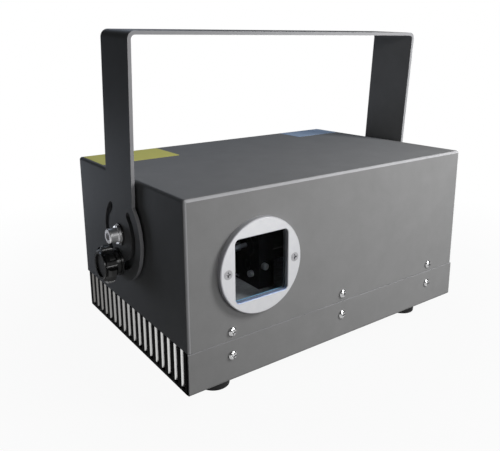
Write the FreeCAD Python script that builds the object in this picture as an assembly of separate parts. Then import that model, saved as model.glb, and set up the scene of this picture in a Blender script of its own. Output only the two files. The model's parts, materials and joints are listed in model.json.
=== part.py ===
import FreeCAD, Part
import math
import os

# A laser show projector: a folded sheet housing on rubber feet, a turned aperture ring with a
# glass window, a pair of mirror scanners behind it, and a strap yoke that tilts on two bolts.
# Millimetres. The origin is on the floor under the middle of the whole object, from the ring's
# face to the end of the key. +Z is up and the beam leaves through the front, towards -Y.
# The pieces are drawn about the middle of the housing and moved to that origin at the end.

Vector = FreeCAD.Vector
X = Vector(1, 0, 0)
Y = Vector(0, 1, 0)
Z = Vector(0, 0, 1)
ORIGIN = Vector(0, 0, 0)

# Housing
housing_width = 245.0
housing_depth = 160.0
housing_height = 119.0
seam_height = 27.5
sheet = 1.2
fold_radius = 2.0
cover_clearance = 0.1
seam_gap = 0.2
seam_chamfer = 0.5
rear_lip = 8.0
overrun = 2.0

# Feet
foot_height = 12.7
foot_radius = 11.6
foot_waist = 10.5
foot_inset_x = 31.0
foot_inset_y = 23.0
foot_recess_radius = 5.0
foot_recess_depth = 5.5
foot_screw_radius = 2.0
foot_screw_head_radius = 3.8
foot_screw_head = 2.6
foot_screw_grip = 4.0

# Vent plates in the sides of the pan
vent_sheet = 1.4
vent_flange = 12.0
vent_bend = 2.0
vent_overlap = 8.0
vent_joggle = 3.0
vent_count = 18
vent_margin = 9.5
vent_forward = 2.4
vent_slot = 4.0
vent_lean = 0.6
vent_foot = 2.2
vent_rise = 4.0
slot_end_share = 0.25

# Bars behind the seam, and the seam's screws
bar_thickness = 6.0
bar_above_seam = 10.5
bar_below_seam = 15.5
bar_end_gap = 2.0
seam_screw_inset = 30.5
seam_screw_up = 5.5
seam_screw_down = 10.0
screw_radius = 1.5
screw_head_radius = 2.9
screw_head = 1.9
screw_head_flat_share = 0.4
screw_grip = 6.5
screw_recess_length = 3.4
screw_recess_width = 0.9
screw_recess_depth = 1.0
screw_clearance = 0.1
nut_width = 5.5
nut_height = 2.4
lip_screw_inset = 22.5

# Aperture ring and window
aperture_inset = 50.5
ring_wall = 3.3
ring_thickness = 4.0
ring_chamfer = 0.5
window_width = 39.5
window_corner = 3.0
glass_lip = 1.25
glass_thickness = 1.1
glass_corner = 3.0
glass_clearance = 0.1
cover_window_margin = 0.25
ring_window_chamfer = 0.35
ring_screw_head_radius = 2.9
ring_screw_cone = 1.4

# Optical base plate
optical_base_thickness = 6.0
optical_base_margin = 18.0
optical_base_corner = 4.0
base_screw_inset = 29.5
base_screw_radius = 1.5
base_screw_head_radius = 2.75
base_screw_head = 3.0
base_screw_grip = 8.0
socket_share = 0.45
socket_depth_share = 0.5

# Scanner block, mirrors and galvanometer motors
scan_setback = 32.0
mirror_pitch = 14.0
beam_rise = 13.4
block_side_gap = 14.5
block_wall = 12.0
block_front = 13.0
block_back_gap = 13.0
block_depth = 10.0
block_left = 15.0
block_rise = 42.0
block_edge = 1.2
beam_radius = 3.5
motor_radius = 7.5
motor_length = 34.0
motor_cap_radius = 8.6
motor_cap_length = 9.0
motor_clearance = 0.1
motor_nose = 1.0
shaft_radius = 1.5
shaft_clearance = 0.05
shaft_bore = 20.0
shaft_end_share = 0.95
clip_radius = 2.8
clip_length = 5.0
clip_grip = 3.5
mirror_thickness = 1.0
mirror_clearance = 0.1
mirror_width = 9.0
mirror_length = 13.0
mirror_turn_deg = 45.0
scanner_screw_radius = 1.25
scanner_screw_head_radius = 2.2
scanner_screw_head = 2.5
scanner_screw_grip = 6.0
side_screw_back = 7.5
side_screw_rise = 9.0
front_screw_in = 4.0
front_screw_rise = 15.6

# Laser modules, dichroic holders and plates
laser_width = 32.0
laser_length = 45.0
laser_height = 28.0
laser_edge = 1.0
laser_barrel_radius = 5.0
laser_barrel = 6.0
laser_fin_count = 5
laser_fin_gap = 2.4
laser_fin_depth = 6.0
laser_flange = 4.0
laser_flange_height = 5.0
laser_gap = 3.0
laser_reach_gap = 1.5
holder_gap = 4.0
laser_setback = 24.0
holder_width = 15.0
holder_rise = 8.0
holder_floor = 5.0
plate_thickness = 1.1
plate_width = 13.0
plate_clearance = 0.1

# Electronics under the optical base
supply_length = 96.0
supply_width = 78.0
supply_height = 28.0
supply_gap = 3.0
supply_step_length = 14.0
supply_step_height = 16.0
supply_vent_radius = 1.6
supply_vent_pitch = 9.0
supply_vent_depth = 1.0
supply_vent_rows = 3
supply_vent_columns = 7
board_thickness = 1.6
board_length = 66.0
board_width = 48.0
board_gap = 3.0
standoff_height = 6.0
standoff_radius = 2.5
standoff_inset = 4.0
sink_height = 14.0
sink_depth = 12.0
sink_length_share = 0.6
sink_fins = 6
sink_gap = 2.2
sink_floor = 3.0
can_radius = 4.0
can_height = 11.0
can_share = 0.25

# Rear panel
connector_gap = 1.2
display_gap = 1.5
button_pitch = 12.0
button_count = 4

# Fan
fan_width = 40.0
fan_depth = 15.0
fan_corner = 4.0
fan_wall = 1.4
fan_screw_inset = 4.0
fan_screw_share = 0.6
fan_hub_radius = 9.0
fan_hub_wall = 1.5
fan_hub_depth = 10.0
fan_tip_gap = 1.0
fan_axial_gap = 1.0
fan_motor_gap = 0.6
fan_blades = 7
fan_blade_thickness = 1.2
fan_blade_depth = 9.0
fan_root_deg = 48.0
fan_tip_deg = 30.0
fan_root_sink = 0.6
fan_strut = 4.0
fan_strut_thickness = 2.0
fan_pin_radius = 1.5
guard_wire = 0.8
guard_rings = 3
guard_stand = 1.0
guard_weld = 0.9
guard_ring_share = 0.9
guard_eye_radius = 4.0
guard_end_gap = 0.4
guard_eye_thickness = 1.2

# Mains inlet
inlet_flange_width = 48.0
inlet_flange_height = 27.0
inlet_flange = 3.0
inlet_flange_corner = 4.0
inlet_body_width = 27.5
inlet_body_height = 20.0
inlet_body_depth = 22.0
inlet_mouth_width = 24.0
inlet_mouth_height = 16.5
inlet_mouth_depth = 17.0
inlet_mouth_chamfer = 4.0
inlet_screw_pitch = 40.0
inlet_pin_length = 10.0
inlet_pin_width = 4.0
inlet_pin_thickness = 2.0
inlet_pin_pitch = 7.0
inlet_earth_drop = 4.0

# Three-pin control connectors
xlr_flange_width = 26.0
xlr_flange_height = 31.0
xlr_flange = 2.4
xlr_flange_corner = 4.0
xlr_body_radius = 11.8
xlr_body_depth = 18.0
xlr_mouth_radius = 9.4
xlr_mouth_depth = 15.0
xlr_pin_radius = 1.2
xlr_pin_circle = 4.2
xlr_pin_length = 9.5
xlr_core_radius = 7.4
xlr_hole_radius = 1.6
xlr_hole_depth = 8.0
cutout_clearance = 0.2

# Show-control D-sub socket
dsub_flange_width = 53.0
dsub_flange_height = 12.5
dsub_flange = 1.0
dsub_shell_width = 39.0
dsub_shell_height = 8.4
dsub_shell_slope = 1.4
dsub_shell_out = 5.8
dsub_shell_wall = 0.6
dsub_core_sink = 0.5
dsub_post_pitch = 47.0
dsub_post_radius = 2.4
dsub_post_out = 5.0
dsub_post_hole = 1.3
dsub_post_floor = 1.0

# Control board, display and menu buttons
main_board_gap = 12.0
display_width = 44.0
display_height = 14.0
display_proud = 0.8
display_bezel = 2.0
button_radius = 3.2
button_proud = 3.0
button_clearance = 0.3
button_flange = 0.8
button_flange_thickness = 1.2
button_stem = 3.5
button_travel = 1.2
button_edge = 0.6
switch_width = 6.0

# Key switch
key_barrel_radius = 9.0
key_barrel_length = 22.0
key_collar_radius = 11.5
key_collar = 4.0
key_collar_chamfer = 1.0
key_nut_width = 24.0
key_nut = 3.0
key_plug_radius = 6.0
key_plug_depth = 8.0
key_plug_clearance = 0.1
key_bow_width = 18.0
key_bow_length = 20.0
key_bow_thickness = 2.0
key_neck = 6.0
key_neck_width = 8.0
key_hole_radius = 2.4
key_bow_corner = 5.0

# Yoke
pivot_height = 79.4
yoke_gap = 1.5
yoke_thickness = 2.3
yoke_strap = 40.0
yoke_rise = 130.6
yoke_bend = 5.0
yoke_tilt_deg = 3.6
ear_radius = 31.0
slot_radius = 21.0
slot_width = 6.0
slot_half_deg = 140.0
clamp_hole_radius = 5.25

# Pivot bolts, washers and stiffening plates
pivot_radius = 3.0
pivot_clearance = 0.1
pivot_head_radius = 5.0
pivot_head = 6.0
pivot_head_chamfer = 0.5
pivot_socket = 5.0
pivot_socket_depth = 3.0
pivot_tail = 3.0
pad_radius = 7.2
pad_thickness = 1.0
spring_radius = 6.2
spring_thickness = 1.6
spring_split = 1.4
spring_slant_deg = 18.0
stiffener_thickness = 3.0
stiffener_width = 44.0
stiffener_height = 56.0
stiffener_corner = 5.0

# Clamp knobs and their studs
knob_place_deg = 13.0
knob_stud_radius = 2.5
knob_clearance = 0.1
knob_radius = 12.8
knob_lobes = 7
knob_valley_radius = 3.7
knob_valley_place = 13.6
knob_collar_radius = 8.2
knob_collar = 3.6
knob_foot_radius = 9.6
knob_foot = 1.4
knob_head = 8.4
knob_round = 1.6
knob_rim_radius = 9.2
knob_rim_wall = 1.3
knob_dish = 1.2
knob_bore_depth = 9.0
stud_tail = 2.5

# Planes and places that follow from the sizes
cover_half = housing_width / 2
front_y = -housing_depth / 2
back_y = housing_depth / 2
pan_bottom = foot_height
seam_z = pan_bottom + seam_height
cover_top = pan_bottom + housing_height
pan_half = cover_half
tab_outside = cover_half - sheet - cover_clearance
tab_inside = tab_outside - vent_sheet
aperture_x = aperture_inset - cover_half
panel_back = back_y - sheet
panel_front = panel_back - sheet
pan_floor = pan_bottom + sheet
front_inside = front_y + sheet
bar_low = seam_z - bar_below_seam
bar_high = seam_z + bar_above_seam
bar_half = pan_half - vent_flange - bar_end_gap
rear_bar_back = panel_front - sheet
base_top = bar_high + optical_base_thickness
base_half = cover_half - optical_base_margin
beam_z = base_top + beam_rise
aperture_z = beam_z + mirror_pitch
ring_face = front_y - ring_thickness
key_end = panel_back + key_collar + key_neck + key_bow_length
middle_y = (ring_face + key_end) / 2
ring_radius = (window_width / 2 - window_corner) * math.sqrt(2) + window_corner + ring_wall
ring_screw_out = (window_width / 2 + ring_radius) / 2
glass_width = window_width + 2 * glass_lip
cover_window = window_width + 2 * cover_window_margin
scan_y = front_y + scan_setback
block_face_x = aperture_x + block_side_gap
block_back_y = scan_y + block_back_gap
blue_place = (block_face_x - motor_nose + motor_length + motor_cap_length
              + holder_gap + holder_width / 2)
green_place = blue_place + laser_width + 2 * laser_flange + laser_gap
red_place = green_place + holder_width / 2 + laser_reach_gap + laser_barrel
vent_inside = pan_half - vent_flange
supply_x = supply_gap + supply_length / 2 - vent_inside
supply_y = (front_inside + rear_bar_back) / 2
board_x = vent_inside - board_gap - board_length / 2
laser_board_y = front_inside + bar_thickness + board_gap + board_width / 2
galvo_board_y = rear_bar_back - bar_thickness - board_gap - board_width / 2
vent_span = housing_depth - 2 * vent_margin
seam_screw_spread = housing_width - 2 * seam_screw_inset
lip_screw_spread = housing_width - 2 * lip_screw_inset
base_screw_spread = 2 * (base_half - base_screw_inset)
pivot_z = pan_bottom + pivot_height
arm_inside = cover_half + yoke_gap
arm_outside = arm_inside + yoke_thickness
wall_inside = cover_half - sheet
seam_screw_places = (-seam_screw_spread / 2, 0, seam_screw_spread / 2)
knob_y = slot_radius * math.sin(math.radians(knob_place_deg))
knob_z = pivot_z - slot_radius * math.cos(math.radians(knob_place_deg))

# Rear panel, left to right: the key, the mains inlet, both control connectors and the fan stand
# with equal gaps, and so do the control board's pillars, the show-control socket and the display
# between the key and the fan.
fan_bore = fan_width / 2 - fan_wall
fan_screw_pitch = fan_width - 2 * fan_screw_inset
key_reach = key_nut_width / math.sqrt(3)
row_widths = 2 * key_reach + inlet_flange_width + 2 * xlr_flange_width + fan_width
row_gap = (2 * wall_inside - row_widths) / 6
key_x = row_gap + key_reach - wall_inside
inlet_x = key_x + key_reach + row_gap + inlet_flange_width / 2
dmx_out_x = inlet_x + inlet_flange_width / 2 + row_gap + xlr_flange_width / 2
dmx_in_x = dmx_out_x + xlr_flange_width + row_gap
fan_x = dmx_in_x + xlr_flange_width / 2 + row_gap + fan_width / 2
display_body_width = display_width + 2 * display_bezel
upper_start = key_x + key_reach
upper_room = fan_x - fan_width / 2 - upper_start
upper_gap = (upper_room - 4 * standoff_radius - dsub_flange_width - display_body_width) / 5
pillar_left_x = upper_start + upper_gap + standoff_radius
ilda_x = pillar_left_x + standoff_radius + upper_gap + dsub_flange_width / 2
display_x = ilda_x + dsub_flange_width / 2 + upper_gap + display_body_width / 2
pillar_right_x = display_x + display_body_width / 2 + upper_gap + standoff_radius
lip_low = cover_top - rear_lip
connector_z = base_top + connector_gap + xlr_body_radius
inlet_top = connector_z + inlet_flange_height / 2
button_reach = button_radius + button_flange
column_gap = (lip_low - inlet_top - dsub_flange_height - 2 * button_reach) / 3
ilda_z = inlet_top + column_gap + dsub_flange_height / 2
button_z = lip_low - column_gap - button_reach
display_z = lip_low - display_gap - display_bezel - display_height / 2
fan_z = (base_top + lip_low) / 2
key_z = fan_z
pillar_z = (ilda_z + button_z) / 2


# Shapes that several pieces share

def span_box(x, y, z):
    """A box from three (low, high) pairs."""
    return Part.makeBox(x[1] - x[0], y[1] - y[0], z[1] - z[0], Vector(x[0], y[0], z[0]))


def rod(start, direction, radius, length):
    """A cylinder that starts at a point and runs along a direction."""
    return Part.makeCylinder(radius, length, start, direction)


def ring(start, direction, outer, inner, length):
    """A tube from its two radii."""
    bore = rod(start, direction, inner, length)
    return rod(start, direction, outer, length).cut(bore)


def rounded_face(middle, across, up, width, height, radius):
    """A rectangle with round corners, drawn on the plane of two unit vectors."""
    def point(u, v):
        return middle + across * u + up * v
    half_u = width / 2
    half_v = height / 2
    slack = radius * (1 - math.sqrt(0.5))
    edges = []
    for turn in range(4):
        side = turn % 2
        sign_u = (1, 1, -1, -1)[turn]
        sign_v = (-1, 1, 1, -1)[turn]
        if side == 0:
            first = (sign_u * (half_u - radius), sign_v * half_v)
            last = (sign_u * half_u, sign_v * (half_v - radius))
        else:
            first = (sign_u * half_u, sign_v * (half_v - radius))
            last = (sign_u * (half_u - radius), sign_v * half_v)
        centre = (sign_u * (half_u - slack), sign_v * (half_v - slack))
        edges.append((point(*first), point(*centre), point(*last)))
    wire = []
    for number, (first, centre, last) in enumerate(edges):
        following = edges[(number + 1) % 4][0]
        wire.append(Part.Arc(first, centre, last).toShape())
        wire.append(Part.LineSegment(last, following).toShape())
    return Part.Face(Part.Wire(wire))


def front_plate(x, z, y, width, height, radius, depth):
    """A round-cornered plate that faces front or back and reaches from y to y plus depth."""
    return rounded_face(Vector(x, y, z), X, Z, width, height, radius).extrude(Y * depth)


def polygon(points, direction, length):
    """A prism over a closed outline of straight sides."""
    outline = Part.makePolygon(list(points) + [points[0]])
    return Part.Face(outline).extrude(direction * length)


def hexagon(middle, direction, across, width, height):
    """A hexagonal prism, its width measured over the flats."""
    reach = width / math.sqrt(3)
    corner = across * reach
    points = []
    for turn in range(6):
        points.append(middle + FreeCAD.Rotation(direction, 60 * turn).multVec(corner))
    return polygon(points, direction, height)


def turned(profile):
    """A solid turned about Z from (radius, height) corners."""
    corners = [Vector(radius, 0, height) for radius, height in profile]
    face = Part.Face(Part.makePolygon(corners + [corners[0]]))
    return face.revolve(ORIGIN, Z, 360)


def stand(shape, place, direction):
    """Moves a shape made along +Z so that it points along a direction from a place."""
    moved = shape.copy()
    moved.Placement = FreeCAD.Placement(place, FreeCAD.Rotation(Z, direction))
    return moved


def mirrored(shape):
    """The same piece on the other side of the housing."""
    return shape.mirror(ORIGIN, X)


def group(shapes):
    """Separate solids that share one node."""
    return Part.makeCompound(shapes)


def cross_screw(length):
    """A pan-head machine screw with a cross recess, its head above z = 0."""
    flat = screw_head * screw_head_flat_share
    start = Vector(screw_head_radius, 0, flat)
    bend = math.sqrt(0.5)
    middle = Vector(screw_head_radius * bend, 0, flat + (screw_head - flat) * bend)
    crown = Vector(0, 0, screw_head)
    dome = Part.Arc(start, middle, crown).toShape()
    rest = Part.makePolygon([crown, ORIGIN, Vector(screw_head_radius, 0, 0), start])
    head = Part.Face(Part.Wire([dome] + rest.Edges)).revolve(ORIGIN, Z, 360)
    screw = head.fuse(rod(ORIGIN, -Z, screw_radius, length))
    long_side = (-screw_recess_length / 2, screw_recess_length / 2)
    short_side = (-screw_recess_width / 2, screw_recess_width / 2)
    depth = (screw_head - screw_recess_depth, screw_head + overrun)
    recess = span_box(long_side, short_side, depth).fuse(span_box(short_side, long_side, depth))
    return screw.cut(recess)


def socket_screw(radius, head_radius, head, length):
    """A cap screw with a hexagonal socket, its head above z = 0."""
    screw = rod(ORIGIN, Z, head_radius, head).fuse(rod(ORIGIN, -Z, radius, length))
    depth = head * socket_depth_share
    socket_width = 2 * head_radius * socket_share
    socket = hexagon(Z * (head - depth), Z, X, socket_width, depth + overrun)
    return screw.cut(socket)


# Housing

def folded_box(x, y, z, radius):
    """A box whose upright and top edges are rounded as sheet folds are."""
    solid = span_box(x, y, z)
    middle = (z[0] + z[1]) / 2
    edges = [edge for edge in solid.Edges if edge.BoundBox.ZMax > middle]
    return solid.makeFillet(radius, edges)


def side_holes(radius, y, z):
    """A hole through both side walls."""
    start = Vector(-cover_half - overrun, y, z)
    return rod(start, X, radius, housing_width + 2 * overrun)


def make_top_cover():
    """Top, front and sides in one folded sheet, with a narrow lip down the back."""
    outer = folded_box((-cover_half, cover_half), (front_y, back_y), (seam_z, cover_top), fold_radius)
    hollow = folded_box((-wall_inside, wall_inside), (front_inside, panel_back),
                        (seam_z - overrun, cover_top - sheet), fold_radius - sheet)
    cover = outer.cut(hollow)
    back_opening = span_box((-wall_inside, wall_inside), (panel_front, back_y + overrun),
                            (seam_z - overrun, cover_top - rear_lip))
    through = sheet + 2 * overrun
    window = front_plate(aperture_x, aperture_z, front_y - overrun, cover_window, cover_window,
                         window_corner, through)
    cuts = [back_opening, window]
    hole = screw_radius + screw_clearance
    for x in seam_screw_places:
        cuts.append(rod(Vector(x, front_y - overrun, seam_z + seam_screw_up), Y, hole, through))
    for x in ring_screw_places():
        cuts.append(rod(Vector(x, front_y - overrun, aperture_z), Y, hole, through))
    for x in lip_screw_places():
        cuts.append(rod(Vector(x, panel_front, lip_screw_z()), Y, hole, through))
    cuts.append(side_holes(pivot_radius + screw_clearance, 0, pivot_z))
    cuts.append(side_holes(knob_stud_radius + knob_clearance, knob_y, knob_z))
    return cover.cut(cuts)


def ring_screw_places():
    return (aperture_x - ring_screw_out, aperture_x + ring_screw_out)


def lip_screw_places():
    return (-lip_screw_spread / 2, 0, lip_screw_spread / 2)


def lip_screw_z():
    return cover_top - rear_lip / 2


def foot_places():
    x = cover_half - foot_inset_x
    y = housing_depth / 2 - foot_inset_y
    return [Vector(sx * x, sy * y, 0) for sx in (-1, 1) for sy in (-1, 1)]


def make_base_pan():
    """Floor, front wall and low back wall, folded from one strip."""
    top = seam_z - seam_gap
    outer = span_box((-pan_half, pan_half), (front_y, panel_front), (pan_bottom, top))
    folds = [edge for edge in outer.Edges if edge.BoundBox.ZMax < seam_z - seam_height / 2
             and edge.BoundBox.XLength > pan_half]
    outer = outer.makeFillet(fold_radius, folds)
    crest = [edge for edge in outer.Edges if edge.BoundBox.ZMin > seam_z - seam_height / 2
             and edge.BoundBox.YMax < 0 and edge.BoundBox.XLength > pan_half]
    outer = outer.makeChamfer(seam_chamfer, crest)
    hollow = span_box((-pan_half - overrun, pan_half + overrun), (front_inside, panel_front - sheet),
                      (pan_floor, top + overrun))
    bends = [edge for edge in hollow.Edges if edge.BoundBox.ZMax < seam_z - seam_height / 2
             and edge.BoundBox.XLength > pan_half]
    hollow = hollow.makeFillet(fold_radius - sheet, bends)
    pan = outer.cut(hollow)
    cuts = []
    for side in (-1, 1):
        ends = sorted((side * (pan_half - vent_sheet), side * (pan_half + overrun)))
        cuts.append(span_box(ends, (front_inside, back_y), (0, top + overrun)))
    hole = screw_radius + screw_clearance
    for x in seam_screw_places:
        z = seam_z - seam_screw_down
        cuts.append(rod(Vector(x, front_y - overrun, z), Y, hole, housing_depth + 2 * overrun))
    for place in foot_places():
        cuts.append(rod(place, Z, foot_screw_radius + screw_clearance, pan_floor + overrun))
    return pan.cut(cuts)


def make_vent_plate():
    """The slotted plate that closes the pan's right side, with a folded flange at each end. Its top
    edge is stepped inwards, and tucks in behind the cover."""
    low = pan_bottom
    high = seam_z + vent_overlap
    inner_x = pan_half - vent_flange
    y = (front_inside, panel_front - sheet)
    outer = span_box((inner_x, pan_half), y, (low, high))
    corners = [edge for edge in outer.Edges if edge.BoundBox.XMin > inner_x and edge.BoundBox.ZLength > 0]
    corners = [edge for edge in corners if edge.BoundBox.YLength < vent_sheet]
    outer = outer.makeFillet(vent_bend, corners)
    inner_y = (y[0] + vent_sheet, y[1] - vent_sheet)
    hollow = span_box((inner_x - overrun, tab_inside), inner_y, (low - overrun, high + overrun))
    wall = span_box((inner_x - overrun, pan_half - vent_sheet), inner_y,
                    (low - overrun, seam_z - vent_joggle))
    step = span_box((tab_outside, pan_half + overrun), (y[0] - overrun, y[1] + overrun),
                    (seam_z - seam_gap, high + overrun))
    relief = fold_radius - sheet + cover_clearance
    corner = span_box((tab_outside - relief, pan_half), (y[0] - overrun, y[0] + relief),
                      (seam_z - seam_gap, high + overrun))
    under = span_box((inner_x - overrun, pan_half - vent_sheet), y,
                     (low - overrun, pan_floor + fold_radius - sheet))
    pitch = vent_span / (vent_count - 1)
    slot_low = low + vent_foot
    slot_high = seam_z + vent_rise
    slots = []
    for number in range(vent_count):
        place = number * pitch - vent_span / 2 - vent_forward
        middle = Vector(tab_inside - overrun, place, (slot_low + slot_high) / 2)
        slot = rounded_face(middle, Y, Z, vent_slot, slot_high - slot_low, vent_slot * slot_end_share)
        slot = slot.extrude(X * (pan_half - middle.x + overrun))
        slots.append(slot.cut(leaning_wall(place + vent_slot / 2, slot_low, slot_high)))
    return outer.cut([hollow, wall, step, corner, under] + slots)


def leaning_wall(y, low, high):
    """What a slot leaves standing along its back edge, so that its wall leans to the front."""
    inside = pan_half - vent_sheet
    deep = tab_inside - overrun
    start = low - overrun
    points = [Vector(pan_half, y, start), Vector(inside, y - vent_lean, start),
              Vector(deep, y - vent_lean, start), Vector(deep, y + overrun, start),
              Vector(pan_half, y + overrun, start)]
    return polygon(points, Z, high - low + 2 * overrun)


def rear_cutouts():
    """Every opening in the rear panel, each from the piece that fills it."""
    start = panel_front - overrun
    depth = sheet + 2 * overrun
    hole = screw_radius + screw_clearance
    cuts = [rod(Vector(fan_x, start, fan_z), Y, fan_bore, depth)]
    for x, z in fan_screw_places():
        cuts.append(rod(Vector(x, start, z), Y, hole, depth))
    cuts.append(front_plate(inlet_x, connector_z, start, inlet_body_width + 2 * cutout_clearance,
                            inlet_body_height + 2 * cutout_clearance, sheet, depth))
    for x in (dmx_in_x, dmx_out_x):
        cuts.append(rod(Vector(x, start, connector_z), Y, xlr_body_radius + cutout_clearance, depth))
    cuts.append(dsub_outline(start, dsub_shell_width + 2 * cutout_clearance,
                             dsub_shell_height + 2 * cutout_clearance, depth))
    for side in (-1, 1):
        place = Vector(ilda_x + side * dsub_post_pitch / 2, start, ilda_z)
        cuts.append(rod(place, Y, dsub_post_hole + cutout_clearance, depth))
    cuts.append(front_plate(display_x, display_z, start, display_width + 2 * cutout_clearance,
                            display_height + 2 * cutout_clearance, sheet, depth))
    for x in button_places():
        place = Vector(x, start, button_z)
        cuts.append(rod(place, Y, button_radius + button_clearance, depth))
    cuts.append(rod(Vector(key_x, start, key_z), Y, key_barrel_radius + cutout_clearance, depth))
    for x in lip_screw_places():
        cuts.append(rod(Vector(x, start, lip_screw_z()), Y, hole, depth))
    for x in seam_screw_places:
        cuts.append(rod(Vector(x, start, seam_z - seam_screw_down), Y, hole, depth))
    return cuts


def make_rear_panel():
    half = wall_inside - cover_clearance
    top = cover_top - fold_radius
    plate = span_box((-half, half), (panel_front, panel_back), (pan_bottom, top))
    cuts = rear_cutouts()
    for side in (-1, 1):
        corner = sorted((side * (wall_inside - fold_radius + sheet), side * cover_half))
        cuts.append(span_box(corner, (panel_front, panel_back), (cover_top - rear_lip, cover_top)))
    return plate.cut(cuts)


def make_join_bar(y, screw_rows, screw_y):
    """A flat bar that bridges the seam, tapped for the seam's screws and the base's screws."""
    bar = span_box((-bar_half, bar_half), (y, y + bar_thickness), (bar_low, bar_high))
    cuts = []
    for x in seam_screw_places:
        for z in screw_rows:
            start = Vector(x, y - overrun, z)
            cuts.append(rod(start, Y, screw_radius + screw_clearance, bar_thickness + 2 * overrun))
    for x in base_screw_places():
        deep = base_screw_grip + overrun
        cuts.append(rod(Vector(x, screw_y, bar_high), -Z, base_screw_radius + screw_clearance, deep))
    return bar.cut(cuts)


def base_screw_places():
    return (-base_screw_spread / 2, base_screw_spread / 2)


def front_bar_middle():
    return front_inside + bar_thickness / 2


def rear_bar_middle():
    return rear_bar_back - bar_thickness / 2


def make_seam_screws_front():
    screws = []
    for x in seam_screw_places:
        for z in (seam_z + seam_screw_up, seam_z - seam_screw_down):
            screws.append(stand(cross_screw(screw_grip), Vector(x, front_y, z), -Y))
    return group(screws)


def make_rear_panel_screws():
    screws = []
    for x in seam_screw_places:
        place = Vector(x, panel_back, seam_z - seam_screw_down)
        screws.append(stand(cross_screw(screw_grip), place, Y))
    for x in lip_screw_places():
        place = Vector(x, back_y, lip_screw_z())
        screws.append(stand(cross_screw(2 * sheet + nut_height), place, Y))
    return group(screws)


def pressed_nut(place, direction):
    nut = hexagon(place, direction, X, nut_width, nut_height)
    return nut.cut(rod(place, direction, screw_radius + screw_clearance, nut_height))


def make_press_nuts():
    """Clinch nuts behind the aperture ring's screws and behind the lip's screws."""
    nuts = [pressed_nut(Vector(x, front_inside, aperture_z), Y) for x in ring_screw_places()]
    nuts += [pressed_nut(Vector(x, panel_front, lip_screw_z()), -Y) for x in lip_screw_places()]
    return group(nuts)


def make_foot_pads():
    pad = turned([(0, 0), (foot_waist, 0), (foot_radius, foot_height), (0, foot_height)])
    recess = rod(ORIGIN, Z, foot_recess_radius, foot_recess_depth)
    pad = pad.cut([recess, rod(ORIGIN, Z, foot_screw_radius + screw_clearance, foot_height)])
    return group([stand(pad, place, Z) for place in foot_places()])


def make_foot_screws():
    shank = pan_floor - foot_recess_depth + foot_screw_grip
    screw = socket_screw(foot_screw_radius, foot_screw_head_radius, foot_screw_head, shank)
    lift = Z * foot_recess_depth
    return group([stand(screw, place + lift, -Z) for place in foot_places()])


# Aperture

def make_aperture_ring():
    """The turned disc with its square window, glass pocket and two countersinks."""
    rim = ring_radius - ring_chamfer
    disc = turned([(0, 0), (ring_radius, 0), (ring_radius, ring_thickness - ring_chamfer),
                   (rim, ring_thickness), (0, ring_thickness)])
    disc = stand(disc, Vector(aperture_x, front_y, aperture_z), -Y)
    through = ring_thickness + 2 * overrun
    window = front_plate(aperture_x, aperture_z, ring_face - overrun, window_width, window_width,
                         window_corner, through)
    bevel = window_bevel()
    pocket_width = glass_width + 2 * glass_clearance
    pocket = front_plate(aperture_x, aperture_z, front_y - glass_thickness - glass_clearance,
                         pocket_width, pocket_width, glass_corner, glass_thickness + overrun)
    cuts = [window, bevel, pocket]
    for x in ring_screw_places():
        cuts.append(rod(Vector(x, ring_face, aperture_z), Y, screw_radius + screw_clearance, through))
        cuts.append(countersink(x, ring_screw_head_radius + screw_clearance))
    return disc.cut(cuts)


def window_bevel():
    """The small chamfer round the window on the ring's face."""
    wide = window_width + 2 * ring_window_chamfer
    outline = []
    for y, width, corner in ((ring_face, wide, window_corner + ring_window_chamfer),
                             (ring_face + ring_window_chamfer, window_width, window_corner)):
        face = rounded_face(Vector(aperture_x, y, aperture_z), X, Z, width, width, corner)
        outline.append(face.OuterWire)
    return Part.makeLoft(outline, True, True)


def countersink(x, radius):
    narrow = radius - ring_screw_cone
    return Part.makeCone(radius, narrow, ring_screw_cone, Vector(x, ring_face, aperture_z), Y)


def make_window_glass():
    return front_plate(aperture_x, aperture_z, front_y - glass_thickness, glass_width, glass_width,
                       glass_corner, glass_thickness)


def make_aperture_screws():
    """Countersunk cross-recess screws, flush with the ring's face."""
    screws = []
    length = ring_thickness + sheet + nut_height
    long_side = screw_recess_length / 2
    short_side = screw_recess_width / 2
    depth = (ring_face - overrun, ring_face + screw_recess_depth)
    for x in ring_screw_places():
        head = countersink(x, ring_screw_head_radius)
        screw = head.fuse(rod(Vector(x, ring_face, aperture_z), Y, screw_radius, length))
        flat = span_box((x - long_side, x + long_side), depth,
                        (aperture_z - short_side, aperture_z + short_side))
        upright = span_box((x - short_side, x + short_side), depth,
                           (aperture_z - long_side, aperture_z + long_side))
        screws.append(screw.cut(flat.fuse(upright)))
    return group(screws)


# Optical base and scanners

def make_optical_base():
    """The plate that ties both bars together and carries the optics."""
    depth = rear_bar_back - front_inside
    middle = Vector(0, (rear_bar_back + front_inside) / 2, bar_high)
    plate = rounded_face(middle, X, Y, 2 * base_half, depth, optical_base_corner)
    plate = plate.extrude(Z * optical_base_thickness)
    cuts = []
    for x in base_screw_places():
        for y in (front_bar_middle(), rear_bar_middle()):
            hole = base_screw_radius + screw_clearance
            cuts.append(rod(Vector(x, y, bar_high), Z, hole, optical_base_thickness))
    return plate.cut(cuts)


def make_optical_base_screws():
    length = optical_base_thickness + base_screw_grip
    screw = socket_screw(base_screw_radius, base_screw_head_radius, base_screw_head, length)
    places = [Vector(x, y, base_top) for x in base_screw_places()
              for y in (front_bar_middle(), rear_bar_middle())]
    return group([stand(screw, place, Z) for place in places])


def scanner_screw_places():
    """Head seats of the two clamp screws that show through the window, with their directions."""
    side = Vector(block_face_x, scan_y - block_front + side_screw_back, base_top + side_screw_rise)
    front = Vector(block_face_x + front_screw_in, scan_y - block_front, base_top + front_screw_rise)
    return [(side, -X), (front, -Y)]


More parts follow.
